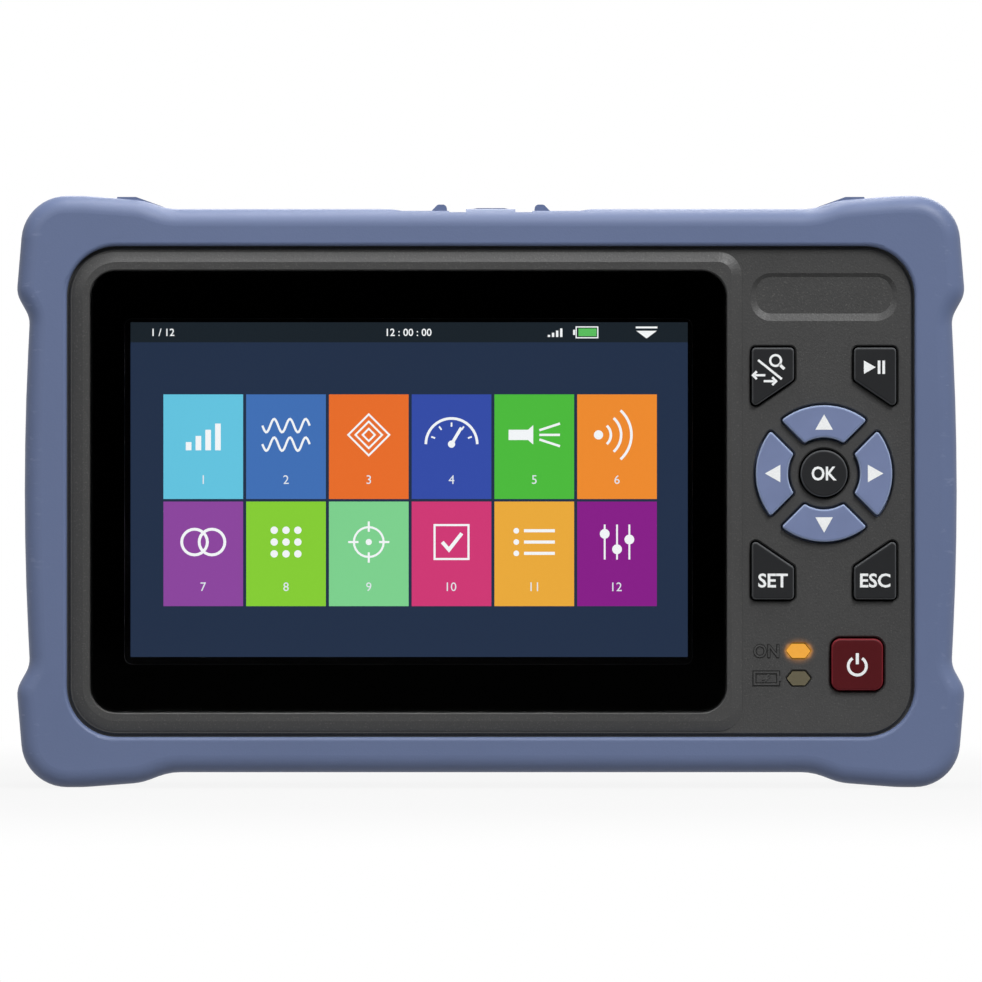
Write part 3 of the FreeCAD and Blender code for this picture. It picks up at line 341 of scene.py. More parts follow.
# %% Dark card
CARD_HALF = 2400.0
CARD_BEHIND = 400.0
CARD_FOOT = -62.0
card_y = model_low[1] - CAMERA_DISTANCE - CARD_BEHIND
card_profile = [(CARD_FOOT, 1.0), (card_y, 1.0), (card_y, CAMERA_Z + CARD_HALF)]
card_points = [(x, y, z) for y, z in card_profile for x in (-CARD_HALF, CARD_HALF)]
card = add_object("dark_card", store_mesh("dark_card", card_points, [[0, 1, 3, 2], [2, 3, 5, 4]]))
felt = start_finish("dark_felt")
felt.close(Base_Color=(0.01, 0.01, 0.01, 1), Roughness=1.0, Specular_IOR_Level=0.0)
card.data.materials.append(felt.owner)
card.visible_camera = False
card.visible_diffuse = False
card.visible_shadow = False
print("card at y =", card_y)

# %% [markdown]
# ## Boot rubber
# The boot is moulded in a soft rubber with a satin skin. Close up it has a fine grain, and over a
# hand's width its colour drifts a little. The corner pads, which take the knocks, are rubbed
# slightly paler.

# %% Boot rubber
slots = {}


def rubber(name, colour, worn):
    """Satin rubber: fine grain in the normal, slow drift in the colour, scuffs on the pads."""
    finish = start_finish(name)
    grain = finish.noise(0.35, 3.0)
    drift = finish.noise(30.0, 1.0)
    scuff = finish.step(finish.noise(2.6, 6.0, (1, 1, 2.5)), 0.60, 0.72)
    pads = finish.step(abs(finish.along("X")), 84.0, 92.0)
    base = finish.blend(drift, [c * 0.95 for c in colour[:3]] + [1], [c * 1.05 for c in colour[:3]] + [1])
    base = finish.blend(scuff * pads * 0.22, base, worn)
    return finish.close(
        Base_Color=base,
        Roughness=0.42 + 0.10 * grain + 0.10 * scuff * pads,
        Specular_IOR_Level=0.4,
        Normal=finish.bump(grain, 0.02),
    )


slots["boot_blue"] = rubber("boot_rubber", seen(92, 105, 138), seen(150, 160, 184))
print("boot rubber")

# %% [markdown]
# ## Moulded case plastic
# The hard case is charcoal plastic from an etched mould: a tight field of pits that breaks up the
# light, with paler flecks. Around the lit lamp a painted glow in the plastic's emission stands for the light
# it spills.

# %% Case plastic
LAMP_SPILL = 4.2
PAINTED_NEAR_GLOW = seen(176, 116, 40)
PAINTED_FAR_GLOW = seen(120, 76, 24)
EDGE_HIGHLIGHT_SHARE = 0.8


def case_plastic(name, colour, fleck):
    """Etched charcoal plastic: pits in the normal, pale flecks, and painted lamp glow round one lens."""
    finish = start_finish(name)
    pits = finish.cells(0.42)
    cloud = finish.noise(9.0, 3.0)
    flecks = finish.step(finish.noise(0.3, 2.0), 0.56, 0.74)
    base = finish.blend(cloud, [c * 0.9 for c in colour[:3]] + [1], [c * 1.1 for c in colour[:3]] + [1])
    base = finish.blend(flecks * 0.35, base, fleck)
    # Painted glow: emission round the lit lens stands for its light falling on the plastic nearby.
    lens = middle("power_light_pipe")
    apart_x = abs(finish.along("X") - lens[0])
    apart_z = abs(finish.along("Z") - lens[2])
    apart = (apart_x * apart_x + 1.6 * apart_z * apart_z) ** 0.5
    front = finish.step(0 - finish.along("Y"), 15.0, 20.0)
    painted_spill = front * (1 - finish.step(apart, 1.6, LAMP_SPILL)) ** 2.0
    beside = 1 - finish.step(apart_x + 0.35 * apart_z, 2.2, 3.1)
    near = front * beside * (1 - finish.step(apart_z, 0.9, 1.7))
    painted_far_glow = finish.blend(painted_spill, (0, 0, 0, 1), PAINTED_FAR_GLOW)
    return finish.close(
        Base_Color=base,
        Roughness=0.42 + 0.16 * pits,
        Specular_IOR_Level=0.5,
        Normal=finish.bump(pits, 0.035, 0.55),
        Emission_Color=finish.blend(near, painted_far_glow, PAINTED_NEAR_GLOW),
        Emission_Strength=1.0,
    )


slots["case_grey"] = case_plastic("case_plastic", seen(55, 55, 55), seen(104, 104, 100))
print("case plastic")

# %% [markdown]
# ## Key rubber
# The keys are softer and smoother than the case, and their rounded edges carry a painted highlight,
# paler than the face. The surface turns away from the user there, so its own normal says where the
# edges are.


# %% Key rubber
def key_rubber(name, colour, edge_highlight):
    """Smooth moulded rubber with a faint drift of colour, a very fine grain and a painted highlight on its
    edges.
    """
    finish = start_finish(name)
    grain = finish.noise(0.22, 2.0)
    drift = finish.noise(5.0, 2.0)
    base = finish.blend(drift, [c * 0.92 for c in colour[:3]] + [1], [c * 1.08 for c in colour[:3]] + [1])
    # Painted highlight: the rounded edges are paler in the base colour, as if they caught the light.
    base = finish.blend(finish.edges() * EDGE_HIGHLIGHT_SHARE, base, edge_highlight)
    return finish.close(
        Base_Color=base,
        Roughness=0.46 + 0.12 * grain,
        Specular_IOR_Level=0.2,
        Normal=finish.bump(grain, 0.012, 0.5),
    )


slots["key_dark"] = key_rubber("key_charcoal", seen(31, 32, 34), seen(84, 86, 88))
slots["key_blue"] = key_rubber("key_blue_grey", seen(110, 122, 157), seen(160, 176, 206))
slots["key_red"] = key_rubber("key_dark_red", seen(75, 4, 12), seen(130, 34, 44))
print("key rubbers")

# %% [markdown]
# ## Glass, lenses and the dark parts behind them
# The display glass is clear, and its black border is the adhesive frame that shows through it.
# Glass is all reflection and refraction, so its only pattern is the faint smear that fingers leave.
# The lenses are cloudy plastic rods: one is lit from behind, the other isn't.


# %% Glass and lenses
def clear_glass(name):
    """Clear glass with faint smears that roughen it."""
    finish = start_finish(name)
    smear = finish.step(finish.noise(14.0, 5.0, (1, 1, 2)), 0.45, 0.8)
    return finish.close(
        Base_Color=(1, 1, 1, 1),
        Roughness=0.015 + 0.03 * smear,
        IOR=1.46,
        Transmission_Weight=1.0,
    )


def lens(name, colour, glow_colour, strength):
    """Cloudy moulded lens, brighter in its middle when it is lit."""
    finish = start_finish(name)
    cloud = finish.noise(0.7, 2.0)
    base = finish.blend(cloud, [c * 0.85 for c in colour[:3]] + [1], colour)
    return finish.close(
        Base_Color=base,
        Roughness=0.25 + 0.1 * cloud,
        Emission_Color=finish.blend(cloud, [c * 0.9 for c in glow_colour[:3]] + [1], glow_colour),
        Emission_Strength=strength,
    )


slots["display_glass"] = clear_glass("touch_glass_clear")
slots["amber_lens"] = lens("lamp_lit_amber", seen(90, 50, 12), seen(238, 170, 66), 0.95)
slots["clear_lens"] = lens("lamp_unlit", seen(104, 98, 78), seen(0, 0, 0), 0.0)
slots["detector_glass"] = lens("detector_window", seen(60, 50, 80), seen(0, 0, 0), 0.0)
print("glass and lenses")


# %% Dark parts
def dark_part(name, colour, size, rough, shine=0.5):
    """Plain dark plastic, tape or foam: a grain of the given size in colour, gloss and normal."""
    finish = start_finish(name)
    grain = finish.noise(size, 3.0)
    base = finish.blend(grain, [c * 0.75 for c in colour[:3]] + [1], [c * 1.25 for c in colour[:3]] + [1])
    return finish.close(
        Base_Color=base,
        Roughness=rough + 0.15 * grain,
        Specular_IOR_Level=shine,
        Normal=finish.bump(grain, 0.03, 0.4),
    )


slots["tape_black"] = dark_part("tape_black_film", seen(4, 4, 4), 0.5, 0.8, 0.0)
slots["display_black"] = dark_part("display_bezel_black", seen(5, 5, 6), 1.0, 0.8, 0.0)
slots["jack_black"] = dark_part("socket_black", seen(38, 38, 40), 0.4, 0.42)
slots["seal_black"] = dark_part("seal_rubber", seen(30, 30, 31), 0.3, 0.75)
print("dark parts")

# %% [markdown]
# ## Metals, ceramic, boards and cells
# Turned metal carries rings from the lathe, rolled steel has streaks, and both show best as a
# change of roughness. A board is green lacquer over copper, whose tracks follow a square grid.


# %% Metals
def metal(name, colour, rough, stretch):
    """Bare metal whose polish varies in streaks."""
    finish = start_finish(name)
    streak = finish.noise(0.6, 4.0, stretch)
    base = finish.blend(streak, [c * 0.88 for c in colour[:3]] + [1], colour)
    return finish.close(
        Base_Color=base,
        Metallic=1.0,
        Roughness=rough + 0.18 * streak,
        Normal=finish.bump(streak, 0.006, 0.4),
    )


slots["nickel"] = metal("nickel_plate", seen(214, 210, 200), 0.16, (1, 1, 9))
slots["steel"] = metal("zinc_steel", seen(180, 182, 186), 0.28, (6, 1, 1))
slots["contact_gold"] = metal("contact_gold_plate", seen(226, 186, 92), 0.2, (1, 1, 5))
slots["module_aluminium"] = metal("cast_aluminium", seen(168, 170, 172), 0.4, (1, 1, 1))
print("metals")


# %% Ceramic, board and wrap
def ceramic(name):
    """Zirconia: near white, polished, very faintly clouded."""
    finish = start_finish(name)
    cloud = finish.noise(1.2, 2.0)
    base = finish.blend(cloud, seen(238, 236, 226), seen(250, 249, 244))
    return finish.close(Base_Color=base, Roughness=0.12 + 0.1 * cloud)


def circuit_board(name):
    """Green lacquer over a square grid of copper tracks."""
    finish = start_finish(name)
    inputs = {"Vector": finish.place(), "Scale": 1 / (3.2 * MM), "Mortar Size": 0.06}
    tracks = finish.node("ShaderNodeTexBrick", {"offset": 0.37}, inputs)["Fac"]
    broken = finish.step(finish.noise(6.0, 1.0), 0.42, 0.5)
    base = finish.blend(tracks * broken, seen(18, 84, 48), seen(52, 132, 74))
    return finish.close(Base_Color=base, Roughness=0.3, Normal=finish.bump(tracks * broken, 0.03, 0.5))


def cell_wrap(name):
    """Shrunk film round the cells, with fine creases round them."""
    finish = start_finish(name)
    crease = finish.noise(2.0, 4.0, (6, 1, 1))
    base = finish.blend(crease, seen(48, 62, 92), seen(66, 84, 120))
    return finish.close(
        Base_Color=base,
        Roughness=0.25 + 0.2 * crease,
        Normal=finish.bump(crease, 0.05, 0.5),
    )


slots["ceramic_white"] = ceramic("zirconia")
slots["board_green"] = circuit_board("board_lacquer")
slots["battery_wrap"] = cell_wrap("cell_wrap")
print(len(slots), "finishes")

# %% [markdown]
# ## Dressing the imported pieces
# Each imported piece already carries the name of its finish, so one loop exchanges the plain
# materials for the ones above and leaves every mesh as it is.

# %% Dress the nodes
for name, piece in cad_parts.items():
    slot = piece.data.materials[0].name
    piece.data.materials[0] = slots[slot]
print("dressed", len(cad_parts), "nodes")

# %% [markdown]
# ## Solids from outlines
# Printed legends and the marks on the display are thin inlays. Each is a closed solid with a small
# thickness, made from outlines in the plane of the front panel: x to the right and z up.
# Two shapes do for all of them: a plate inside one outline, and a stroke of one width along a path.


# %% Plates and strokes
def plate_solid(outline, y_face, thick):
    """Prism: an outline of (x, z) points, counter-clockwise to the user, from y_face back by thick."""
    outline = np.asarray(outline, float)
    count = len(outline)
    front_ring = np.stack([outline[:, 0], np.full(count, y_face), outline[:, 1]], axis=1)
    back_ring = front_ring + np.array([0, thick, 0])
    here = np.arange(count)
    following = (here + 1) % count
    sides = np.stack([here, here + count, following + count, following], axis=1)
    faces = [list(range(count)), list(range(2 * count - 1, count - 1, -1))] + sides.tolist()
    return np.concatenate([front_ring, back_ring]), faces


def stroke_solid(path, width, y_face, thick, closed=False):
    """Band of one width along a path of (x, z) points, its corners mitred, from y_face back by thick.

    Each point moves half the width along the mean of the normals of the two runs that meet there,
    lengthened by one over the cosine of half their turn.
    """
    path = np.asarray(path, float)
    if closed:
        runs = np.roll(path, -1, axis=0) - path
    else:
        runs = np.diff(path, axis=0)
        runs = np.concatenate([runs, runs[-1:]])
    normals = np.stack([-runs[:, 1], runs[:, 0]], axis=1)
    normals /= np.linalg.norm(normals, axis=1, keepdims=True)
    before = np.roll(normals, 1, axis=0)
    if not closed:
        before[0] = normals[0]
    mean = normals + before
    mean /= np.linalg.norm(mean, axis=1, keepdims=True)
    reach = width / 2 / np.sum(mean * normals, axis=1, keepdims=True)
    left = path + mean * reach
    right = path - mean * reach
    if not closed:
        return plate_solid(np.concatenate([right, left[::-1]]), y_face, thick)
    count = len(path)
    rings = []
    for side, depth in ((right, 0), (left, 0), (left, thick), (right, thick)):
        rings.append(np.stack([side[:, 0], np.full(count, y_face + depth), side[:, 1]], axis=1))
    here = np.arange(count)
    following = (here + 1) % count
    faces = []
    for i in range(4):
        j = (i + 1) % 4
        quads = [here + i * count, following + i * count, following + j * count, here + j * count]
        faces += np.stack(quads, axis=1).tolist()
    return np.concatenate(rings), faces


def gather(solids):
    """Several solids as one list of points and faces."""
    points = []
    faces = []
    count = 0
    for solid_points, solid_faces in solids:
        points.append(solid_points)
        faces += [[corner + count for corner in face] for face in solid_faces]
        count += len(solid_points)
    return np.concatenate(points), faces


def arc_points(x, z, radius, start, end, count=24):
    """Points on a circle between two angles in degrees, counter-clockwise from the right."""
    angle = np.radians(np.linspace(start, end, count))
    return np.stack([x + radius * np.cos(angle), z + radius * np.sin(angle)], axis=1)


def text_solid(words, height, x, z, y_face, thick, weight=0.0, squeeze=1.0):
    """Lettering whose capitals have the given height, centred on (x, z), thickened by weight."""
    curve = bpy.data.curves.new("lettering", "FONT")
    curve.body = words
    curve.offset = weight
    curve.extrude = 0.5
    curve.resolution_u = 3
    holder = bpy.data.objects.new("lettering", curve)
    bpy.context.scene.collection.objects.link(holder)
    bpy.context.view_layer.update()
    mesh = bpy.data.meshes.new_from_object(holder)
    points = np.zeros(3 * len(mesh.vertices))
    mesh.vertices.foreach_get("co", points)
    points = points.reshape(-1, 3)
    faces = [list(polygon.vertices) for polygon in mesh.polygons]
    bpy.data.objects.remove(holder)
    low = points.min(axis=0)
    high = points.max(axis=0)
    scale = height / (high[1] - low[1])
    flat = (points - (low + high) / 2) * scale
    depth = (0.5 - points[:, 2]) * thick
    placed = np.stack([x + squeeze * flat[:, 0], y_face + depth, z + flat[:, 1]], axis=1)
    return placed, faces


def finish_piece(name, solid, body, material):
    """Stores a solid as an object that rides on a body."""
    piece = add_object(name, store_mesh(name, *solid))
    piece.data.materials.append(material)
    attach(piece, body)
    return piece


print("outline helpers ready")

# %% [markdown]
# ## Threads on the optical ports
# A plug screws on to an optical port, so its barrel carries a fine thread, broken where the slot for
# the plug's key runs down the front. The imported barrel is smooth. A thread could be a bump in the
# material, but its crests show in outline, so it is cut as a surface: the radius rises and falls
# with height, and the whole pattern climbs by one pitch in each turn.

# %% Threads
PITCH = 0.75
THREAD_DEPTH = 0.2
THREAD_ROOT = 0.25
FLANGE_TOP = 1.5
BARREL_HEIGHT = 6.1
SLOT_HALF = 1.25


def thread_solid(x, top, radius):
    """Threaded skin of a barrel: radius + depth * saw(z / pitch - angle / turn), over most of a turn.

    Saw is 0 at a root and 1 at a crest, straight between them, and fades out at both ends.
    """
    gap = math.asin(SLOT_HALF / radius)
    angle = np.linspace(-math.pi / 2 + gap, 1.5 * math.pi - gap, 97)
    height = np.linspace(top - BARREL_HEIGHT + FLANGE_TOP, top - 0.25, 59)
    phase = np.mod(height[None, :] / PITCH - angle[:, None] / (2 * math.pi), 1.0)
    saw = 1 - np.abs(2 * phase - 1)
    ends = np.minimum(height - height[0], height[-1] - height)
    fade = np.clip(ends / 0.4, 0, 1)[None, :]
    outer = radius + 0.01 + THREAD_DEPTH * saw * fade
    inner = np.full((len(angle), 2), radius - THREAD_ROOT)
    reach = np.concatenate([outer, inner], axis=1)
    level_of = np.concatenate([height, [height[-1], height[0]]])
    across = x + reach * np.cos(angle)[:, None]
    deep = reach * np.sin(angle)[:, None]
    up = np.broadcast_to(level_of, reach.shape)
    points = np.stack([across, deep, up], axis=2).reshape(-1, 3)
    rows, columns = reach.shape
    number = np.arange(rows * columns).reshape(rows, columns)
    wrapped = np.concatenate([number, number[:, :1]], axis=1)
    corners = [wrapped[:-1, :-1], wrapped[1:, :-1], wrapped[1:, 1:], wrapped[:-1, 1:]]
    faces = np.stack(corners, axis=2).reshape(-1, 4).tolist()
    faces.append(number[0].tolist())
    faces.append(number[-1][::-1].tolist())
    return points, faces


for port, radius in (("otdr_port", 4.0), ("meter_port", 4.0), ("laser_port", 3.5)):
    solid = thread_solid(middle(port)[0], high_corner(port)[2], radius)
    thread = finish_piece(port + "_thread", solid, "case", slots["nickel"])
print("three threads")

# %% [markdown]
# ## Legends on the keys
# Key legends are pad-printed in white, a few hundredths of a millimetre thick, and rubbed a little
# thin by fingers. Each rides on its own key, so that it goes down with it.

# %% Legend ink
ink = start_finish("legend_ink")
thin_spots = ink.noise(0.25, 3.0)
ink_colour = ink.blend(thin_spots, seen(212, 215, 216), seen(246, 247, 247))
slots["legend_ink"] = ink.close(Base_Color=ink_colour, Roughness=0.45 + 0.2 * thin_spots)
INK = 0.03
key_face = low_corner("key_ok")[1] - INK
pad_x, pad_z = middle("key_ok")[[0, 2]]
print("round pad at", round(pad_x, 2), round(pad_z, 2))

# %% Arrow legends
ARROW_BASE = 8.5
ARROW_TIP = 11.5
ARROW_HALF = 1.7


def arrow_legend(degrees):
    """Triangle that points away from the middle of the round pad."""
    corners = np.array([(ARROW_BASE, -ARROW_HALF), (ARROW_TIP, 0), (ARROW_BASE, ARROW_HALF)])
    angle = math.radians(degrees)
    turned = np.array([(math.cos(angle), math.sin(angle)), (-math.sin(angle), math.cos(angle))])
    return plate_solid(corners @ turned + (pad_x, pad_z), key_face, INK)


for key, degrees in (("key_right", 0), ("key_up", 90), ("key_left", 180), ("key_down", 270)):
    finish_piece(key + "_legend", arrow_legend(degrees), key, slots["legend_ink"])
print("four arrows")

# %% Word legends
LETTER = 2.75
for key, words, squeeze in (("key_ok", "OK", 0.87), ("key_set", "SET", 1.0), ("key_escape", "ESC", 1.0)):
    x, z = middle(key)[[0, 2]]
    drop = 0 if key == "key_ok" else -1.9
    solid = text_solid(words, LETTER, x, z + drop, key_face, INK, 0.02, squeeze)
    finish_piece(key + "_legend", solid, key, slots["legend_ink"])
print("three words")

# %% Sign legends
LINE = 0.44


def run_legend(x, z):
    """Triangle and two bars."""
    triangle = [(x - 2.2, z - 1.3), (x + 0.1, z), (x - 2.2, z + 1.3)]
    bars = [stroke_solid([(x + at, z - 1.3), (x + at, z + 1.3)], 0.52, key_face, INK) for at in (0.75, 1.65)]
    return gather([plate_solid(triangle, key_face, INK)] + bars)


def arrow_line(tail, tip, wing):
    """Arrow along x: a shaft and an open head."""
    way = math.copysign(1, tip[0] - tail[0])
    head = [(tip[0] - way * wing, tip[1] + wing), tip, (tip[0] - way * wing, tip[1] - wing)]
    shaft_end = (tip[0] - way * LINE, tip[1])
    return [stroke_solid([tail, shaft_end], LINE, key_face, INK), stroke_solid(head, LINE, key_face, INK)]


def zoom_legend(x, z):
    """Magnifier above a slanted stroke, with a pair of arrows below it."""
    ring = arc_points(x + 0.5, z + 3.05, 1.05, 0, 345, 24)
    parts = [
        stroke_solid(ring, LINE, key_face, INK, closed=True),
        stroke_solid([(x + 1.25, z + 2.3), (x + 2.2, z + 1.4)], 0.55, key_face, INK),
        stroke_solid([(x - 2.9, z + 3.15), (x + 1.7, z - 0.55)], LINE, key_face, INK),
    ]
    parts += arrow_line((x - 1.5, z + 0.2), (x - 3.9, z + 0.2), 0.75)
    parts += arrow_line((x - 1.8, z - 0.95), (x + 0.6, z - 0.95), 0.75)
    return gather(parts)


def power_legend(x, z):
    """Broken ring with an upright bar."""
    ring = stroke_solid(arc_points(x, z, 1.75, 122, 418, 40), 0.55, key_face, INK)
    bar = stroke_solid([(x, z + 0.35), (x, z + 2.5)], 0.6, key_face, INK)
    return gather([ring, bar])


SIGN_LEGENDS = [
    ("key_run", run_legend, 1.75),
    ("key_zoom", zoom_legend, 0.0),
    ("key_power", power_legend, -0.3),
]
for key, draw, up in SIGN_LEGENDS:
    x, z = middle(key)[[0, 2]]
    finish_piece(key + "_legend", draw(x, z + up), key, slots["legend_ink"])
print("three signs")

# %% [markdown]
# ## Raised marks beside the lamps
# Next to the two lenses the mould leaves raised marks in the case's own plastic: the word for the
# power lamp, and a plain cell sign for the charging lamp. Grey on grey they would hardly show, so
# a darker inlay, a little larger and lower, is painted shade round them.

# %% Raised marks
# Painted shade: a darker, slightly larger inlay round each raised mark stands for the shade along its edges.
slots["mark_groove"] = dark_part("painted_shade_round_marks", seen(34, 34, 34), 0.4, 0.6, 0.2)
PIPE_PROUD = 0.2
RAISED = 0.2
SHADE_LAYER = 0.05
MARK_LEFT = 6.3
CELL_HALF_X = 2.3
CELL_HALF_Z = 1.15
panel_y = low_corner("power_light_pipe")[1] + PIPE_PROUD
mark_front = panel_y - RAISED
shade_front = panel_y - SHADE_LAYER
mark_x = middle("power_light_pipe")[0] - MARK_LEFT
on_z = middle("power_light_pipe")[2]
cell_z = middle("charge_light_pipe")[2]
on_mark = text_solid("ON", 2.5, mark_x, on_z, mark_front, RAISED, 0.0, 0.92)
on_shadow = text_solid("ON", 2.86, mark_x, on_z, shade_front, SHADE_LAYER, 0.05, 0.9)
cell_outline = [
    (mark_x - CELL_HALF_X, cell_z - CELL_HALF_Z),
    (mark_x + CELL_HALF_X, cell_z - CELL_HALF_Z),
    (mark_x + CELL_HALF_X, cell_z + CELL_HALF_Z),
    (mark_x - CELL_HALF_X, cell_z + CELL_HALF_Z),
]
cell_tip = [(mark_x + 2.7, cell_z - 0.5), (mark_x + 2.7, cell_z + 0.5)]
cell_flash = [
    (mark_x + 0.5, cell_z + 0.8),
    (mark_x - 0.4, cell_z - 0.1),
    (mark_x + 0.4, cell_z + 0.1),
    (mark_x - 0.5, cell_z - 0.8),
]
cell_shadow = stroke_solid(cell_outline, 0.8, shade_front, SHADE_LAYER, closed=True)
cell_mark = gather(
    [
        stroke_solid(cell_outline, 0.36, mark_front, RAISED, closed=True),
        stroke_solid(cell_tip, 0.4, mark_front, RAISED),
        stroke_solid(cell_flash, 0.3, mark_front, RAISED),
    ]
)
finish_piece("power_lamp_mark", on_mark, "case", slots["case_grey"])
finish_piece("power_lamp_painted_shade", on_shadow, "case", slots["mark_groove"])
finish_piece("charge_lamp_mark", cell_mark, "case", slots["case_grey"])
finish_piece("charge_lamp_painted_shade", cell_shadow, "case", slots["mark_groove"])
print("marks beside the lamps")

# %% [markdown]
# ## The picture on the display
# A display is a lit surface, so its picture is made of thin inlays that emit light, each with its
# own colour stored on its points. One object holds them all: a dark ground, a status bar, and two
# rows of six tiles with plain signs and numbers.

# %% Picture places
PICTURE_WIDTH = 108.4
PICTURE_HEIGHT = 65.1
PICTURE_UP = 0.37
LAYER = 0.02
screen_x, screen_z = middle("touch_glass")[[0, 2]] + (0.12, PICTURE_UP)
screen_face = low_corner("display_module")[1]
BAR_HEIGHT = 3.9
picture = []


def rectangle(x, z, width, height):
    """Corners of a rectangle about a middle, counter-clockwise to the user."""
    return [
        (x - width / 2, z - height / 2),
        (x + width / 2, z - height / 2),
        (x + width / 2, z + height / 2),
        (x - width / 2, z + height / 2),
    ]


def paint(solids, colour):
    """Adds solids of one colour to the picture."""
    for solid in solids:
        picture.append((solid, colour))


def level(layer):
    """Front of a layer of the picture, 0 being the ground."""
    return screen_face - LAYER * (layer + 1)


ground = rectangle(screen_x, screen_z, PICTURE_WIDTH, PICTURE_HEIGHT)
paint([plate_solid(ground, level(0), LAYER)], seen(38, 51, 74))
bar_z = screen_z + PICTURE_HEIGHT / 2 - BAR_HEIGHT / 2
status_bar = rectangle(screen_x, bar_z, PICTURE_WIDTH, BAR_HEIGHT)
paint([plate_solid(status_bar, level(1), LAYER)], seen(29, 37, 44))
print("picture", PICTURE_WIDTH, "by", PICTURE_HEIGHT)

# %% Tiles
TILE_WIDTH = 15.5
TILE_PITCH = 16.1
TILE_HEIGHT = 20.35
ROW_PITCH = 20.85
TILE_COLOURS = [
    [(101, 197, 225), (67, 113, 182), (233, 111, 46), (55, 78, 168), (78, 187, 63), (239, 140, 50)],
    [(141, 72, 159), (135, 207, 56), (127, 210, 144), (208, 59, 118), (235, 171, 62), (136, 34, 137)],
]
white = seen(245, 248, 250)
pale = seen(226, 232, 238)
first_tile_x = screen_x - 2.5 * TILE_PITCH + 0.2
first_tile_z = screen_z + 8.35
tiles = []
for row, colours in enumerate(TILE_COLOURS):
    for column, colour in enumerate(colours):
        x = first_tile_x + column * TILE_PITCH
        z = first_tile_z - row * ROW_PITCH
        paint([plate_solid(rectangle(x, z, TILE_WIDTH, TILE_HEIGHT), level(1), LAYER)], seen(*colour))
        tiles.append((x, z))
print(len(tiles), "tiles")


# %% Signs on the tiles
def line(path, width=0.32, closed=False):
    """White stroke on a tile."""
    return stroke_solid(path, width, level(2), LAYER, closed)


def spot(x, z, radius):
    """Filled disc on a tile."""
    return plate_solid(arc_points(x, z, radius, 0, 345, 24), level(2), LAYER)


def bar_sign(x, z):
    """Four bars that rise to the right."""
    steps = (-1.5, -0.5, 0.5, 1.5)
    return [line([(x + i * 1.9, z - 3), (x + i * 1.9, z - 1.4 + 1.2 * (i + 1.5))], 1.1) for i in steps]


def wave_sign(x, z):
    """Two sine waves, one above the other."""
    t = np.linspace(-1, 1, 40)
    wave = [np.stack([x + 4.6 * t, z + up + 1.3 * np.sin(3 * math.pi * t)], axis=1) for up in (-1.8, 1.8)]
    return [line(points, 0.42) for points in wave]


def square_sign(x, z):
    """Nested squares stood on a corner."""
    corners = [(1, 0), (0, 1), (-1, 0), (0, -1)]
    return [line([(x + r * a, z + r * b) for a, b in corners], 0.36, closed=True) for r in (1.2, 2.6, 4.0)]


def dial_sign(x, z):
    """Half dial with marks and a needle."""
    low = z - 1.8
    marks = [
        line([(x + r * math.cos(a), low + r * math.sin(a)) for r in (3.4, 4.2)])
        for a in np.radians(np.arange(20, 161, 35))
    ]
    arc = line(arc_points(x, low, 5.0, 0, 180), 0.5)
    needle = line([(x, low), (x + 1.9, z + 1.4)], 0.6)
    return marks + [arc, needle, spot(x, low, 0.7)]


def beam_sign(x, z):
    """Torch body with three rays."""
    shape = [(-5, -1), (-1.2, -1), (-0.2, -1.9), (-0.2, 1.9), (-1.2, 1), (-5, 1)]
    body = plate_solid([(x + a, z + b) for a, b in shape], level(2), LAYER)
    rays = [line([(x + 1, z + 0.9 * i), (x + 5, z + 2.2 * i)], 0.45) for i in (-1, 0, 1)]
    return [body] + rays


def ripple_sign(x, z):
    """Arcs that spread from a point."""
    return [spot(x - 3.6, z, 0.9)] + [line(arc_points(x - 3.6, z, r, -48, 48), 0.5) for r in (2.4, 4.4, 6.4)]


def chain_sign(x, z):
    """Two rings that overlap."""
    return [line(arc_points(x + side * 1.7, z, 2.5, 0, 345), 0.55, closed=True) for side in (-1, 1)]


def grid_sign(x, z):
    """Nine dots in rows of three."""
    return [spot(x + 2.3 * i, z + 2.3 * j, 0.72) for i in (-1, 0, 1) for j in (-1, 0, 1)]


def target_sign(x, z):
    """Ring with four marks across it."""
    ring = line(arc_points(x, z, 2.9, 0, 345), 0.4, closed=True)
    ways = ((1, 0), (0, 1), (-1, 0), (0, -1))
    marks = [line([(x + 2 * a, z + 2 * b), (x + 4 * a, z + 4 * b)], 0.4) for a, b in ways]
    return [ring, spot(x, z, 0.6)] + marks


def tick_sign(x, z):
    """Tick in a square."""
    tick = line([(x - 1.8, z), (x - 0.5, z - 1.5), (x + 2.0, z + 1.7)], 0.7)
    return [line(rectangle(x, z, 6.6, 6.6), 0.4, closed=True), tick]


def list_sign(x, z):
    """Three lines of a list, with dots."""
    rows = [2.2, 0, -2.2]
    dots = [spot(x - 3.5, z + up, 0.55) for up in rows]
    return dots + [line([(x - 2, z + up), (x + 4, z + up)], 0.6) for up in rows]


def slider_sign(x, z):
    """Three sliders at different settings."""
    settings = ((-2.4, 1.6), (0, -1.4), (2.4, 0.5))
    tracks = [line([(x + a, z - 3.4), (x + a, z + 3.4)], 0.35) for a, _ in settings]
    return tracks + [spot(x + a, z + b, 0.95) for a, b in settings]


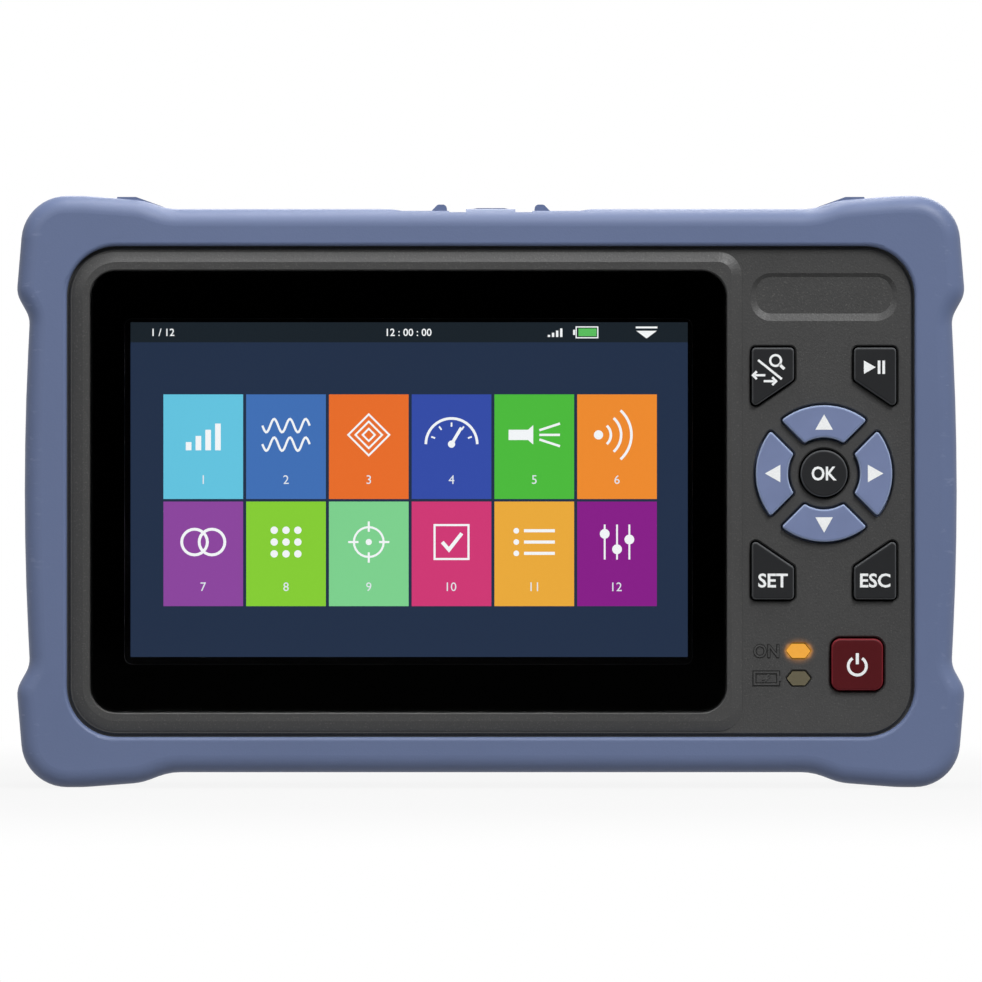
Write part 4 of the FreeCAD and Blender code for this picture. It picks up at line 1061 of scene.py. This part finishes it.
SIGNS = [
    bar_sign,
    wave_sign,
    square_sign,
    dial_sign,
    beam_sign,
    ripple_sign,
    chain_sign,
    grid_sign,
    target_sign,
    tick_sign,
    list_sign,
    slider_sign,
]
SIGN_UP = 2.3
CAPTION_DOWN = 6.4
for number, ((x, z), sign) in enumerate(zip(tiles, SIGNS), 1):
    paint(sign(x, z + SIGN_UP), white)
    paint([text_solid(str(number), 1.7, x, z - CAPTION_DOWN, level(2), LAYER, 0.0)], pale)
print("signs and numbers")

# %% Status bar
paint([text_solid("1 / 12", 1.45, screen_x - 47.8, bar_z, level(2), LAYER, 0.01)], white)
paint([text_solid("12 : 00 : 00", 1.45, screen_x, bar_z, level(2), LAYER, 0.01)], white)
cell_x = screen_x + 34.6
paint([line(rectangle(cell_x, bar_z, 4.2, 2.1), 0.22, closed=True)], white)
paint([plate_solid(rectangle(cell_x + 0.1, bar_z, 3.5, 1.5), level(2), LAYER)], seen(92, 190, 96))
paint([line([(cell_x - 2.5, bar_z - 0.5), (cell_x - 2.5, bar_z + 0.5)], 0.4)], white)
for step in range(4):
    x = screen_x + 27.2 + 0.8 * step
    paint([line([(x, bar_z - 0.9), (x, bar_z - 0.5 + 0.42 * step)], 0.45)], white)
arrow_x = screen_x + 46.2
arrow = [(arrow_x - 2.0, bar_z + 0.3), (arrow_x, bar_z - 1.2), (arrow_x + 2.0, bar_z + 0.3)]
paint([plate_solid(arrow, level(2), LAYER)], white)
paint([line([(arrow_x - 2.1, bar_z + 0.95), (arrow_x + 2.1, bar_z + 0.95)], 0.36)], white)
print("status bar")

# %% Picture object
points, faces = gather([solid for solid, _ in picture])
picture_mesh = store_mesh("display_picture", points, faces)
tints = np.concatenate([np.tile(colour, (len(solid[0]), 1)) for solid, colour in picture])
tint_of_points = picture_mesh.attributes.new("tint", "FLOAT_COLOR", "POINT")
tint_of_points.data.foreach_set("color", tints.astype(np.float32).ravel())
display_picture = add_object("display_picture", picture_mesh)
lit = start_finish("lit_picture")
tint = lit.node("ShaderNodeAttribute", {"attribute_name": "tint"})["Color"]
backlight = lit.noise(40.0, 1.0)
shade = lit.blend(0.05 * backlight, tint, (0, 0, 0, 1))
display_picture.data.materials.append(
    lit.close(
        Base_Color=(0.0, 0.0, 0.0, 1),
        Roughness=1.0,
        Specular_IOR_Level=0.0,
        Emission_Color=shade,
        Emission_Strength=1.07,
    )
)
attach(display_picture, "case")
print(len(faces), "faces in the picture")
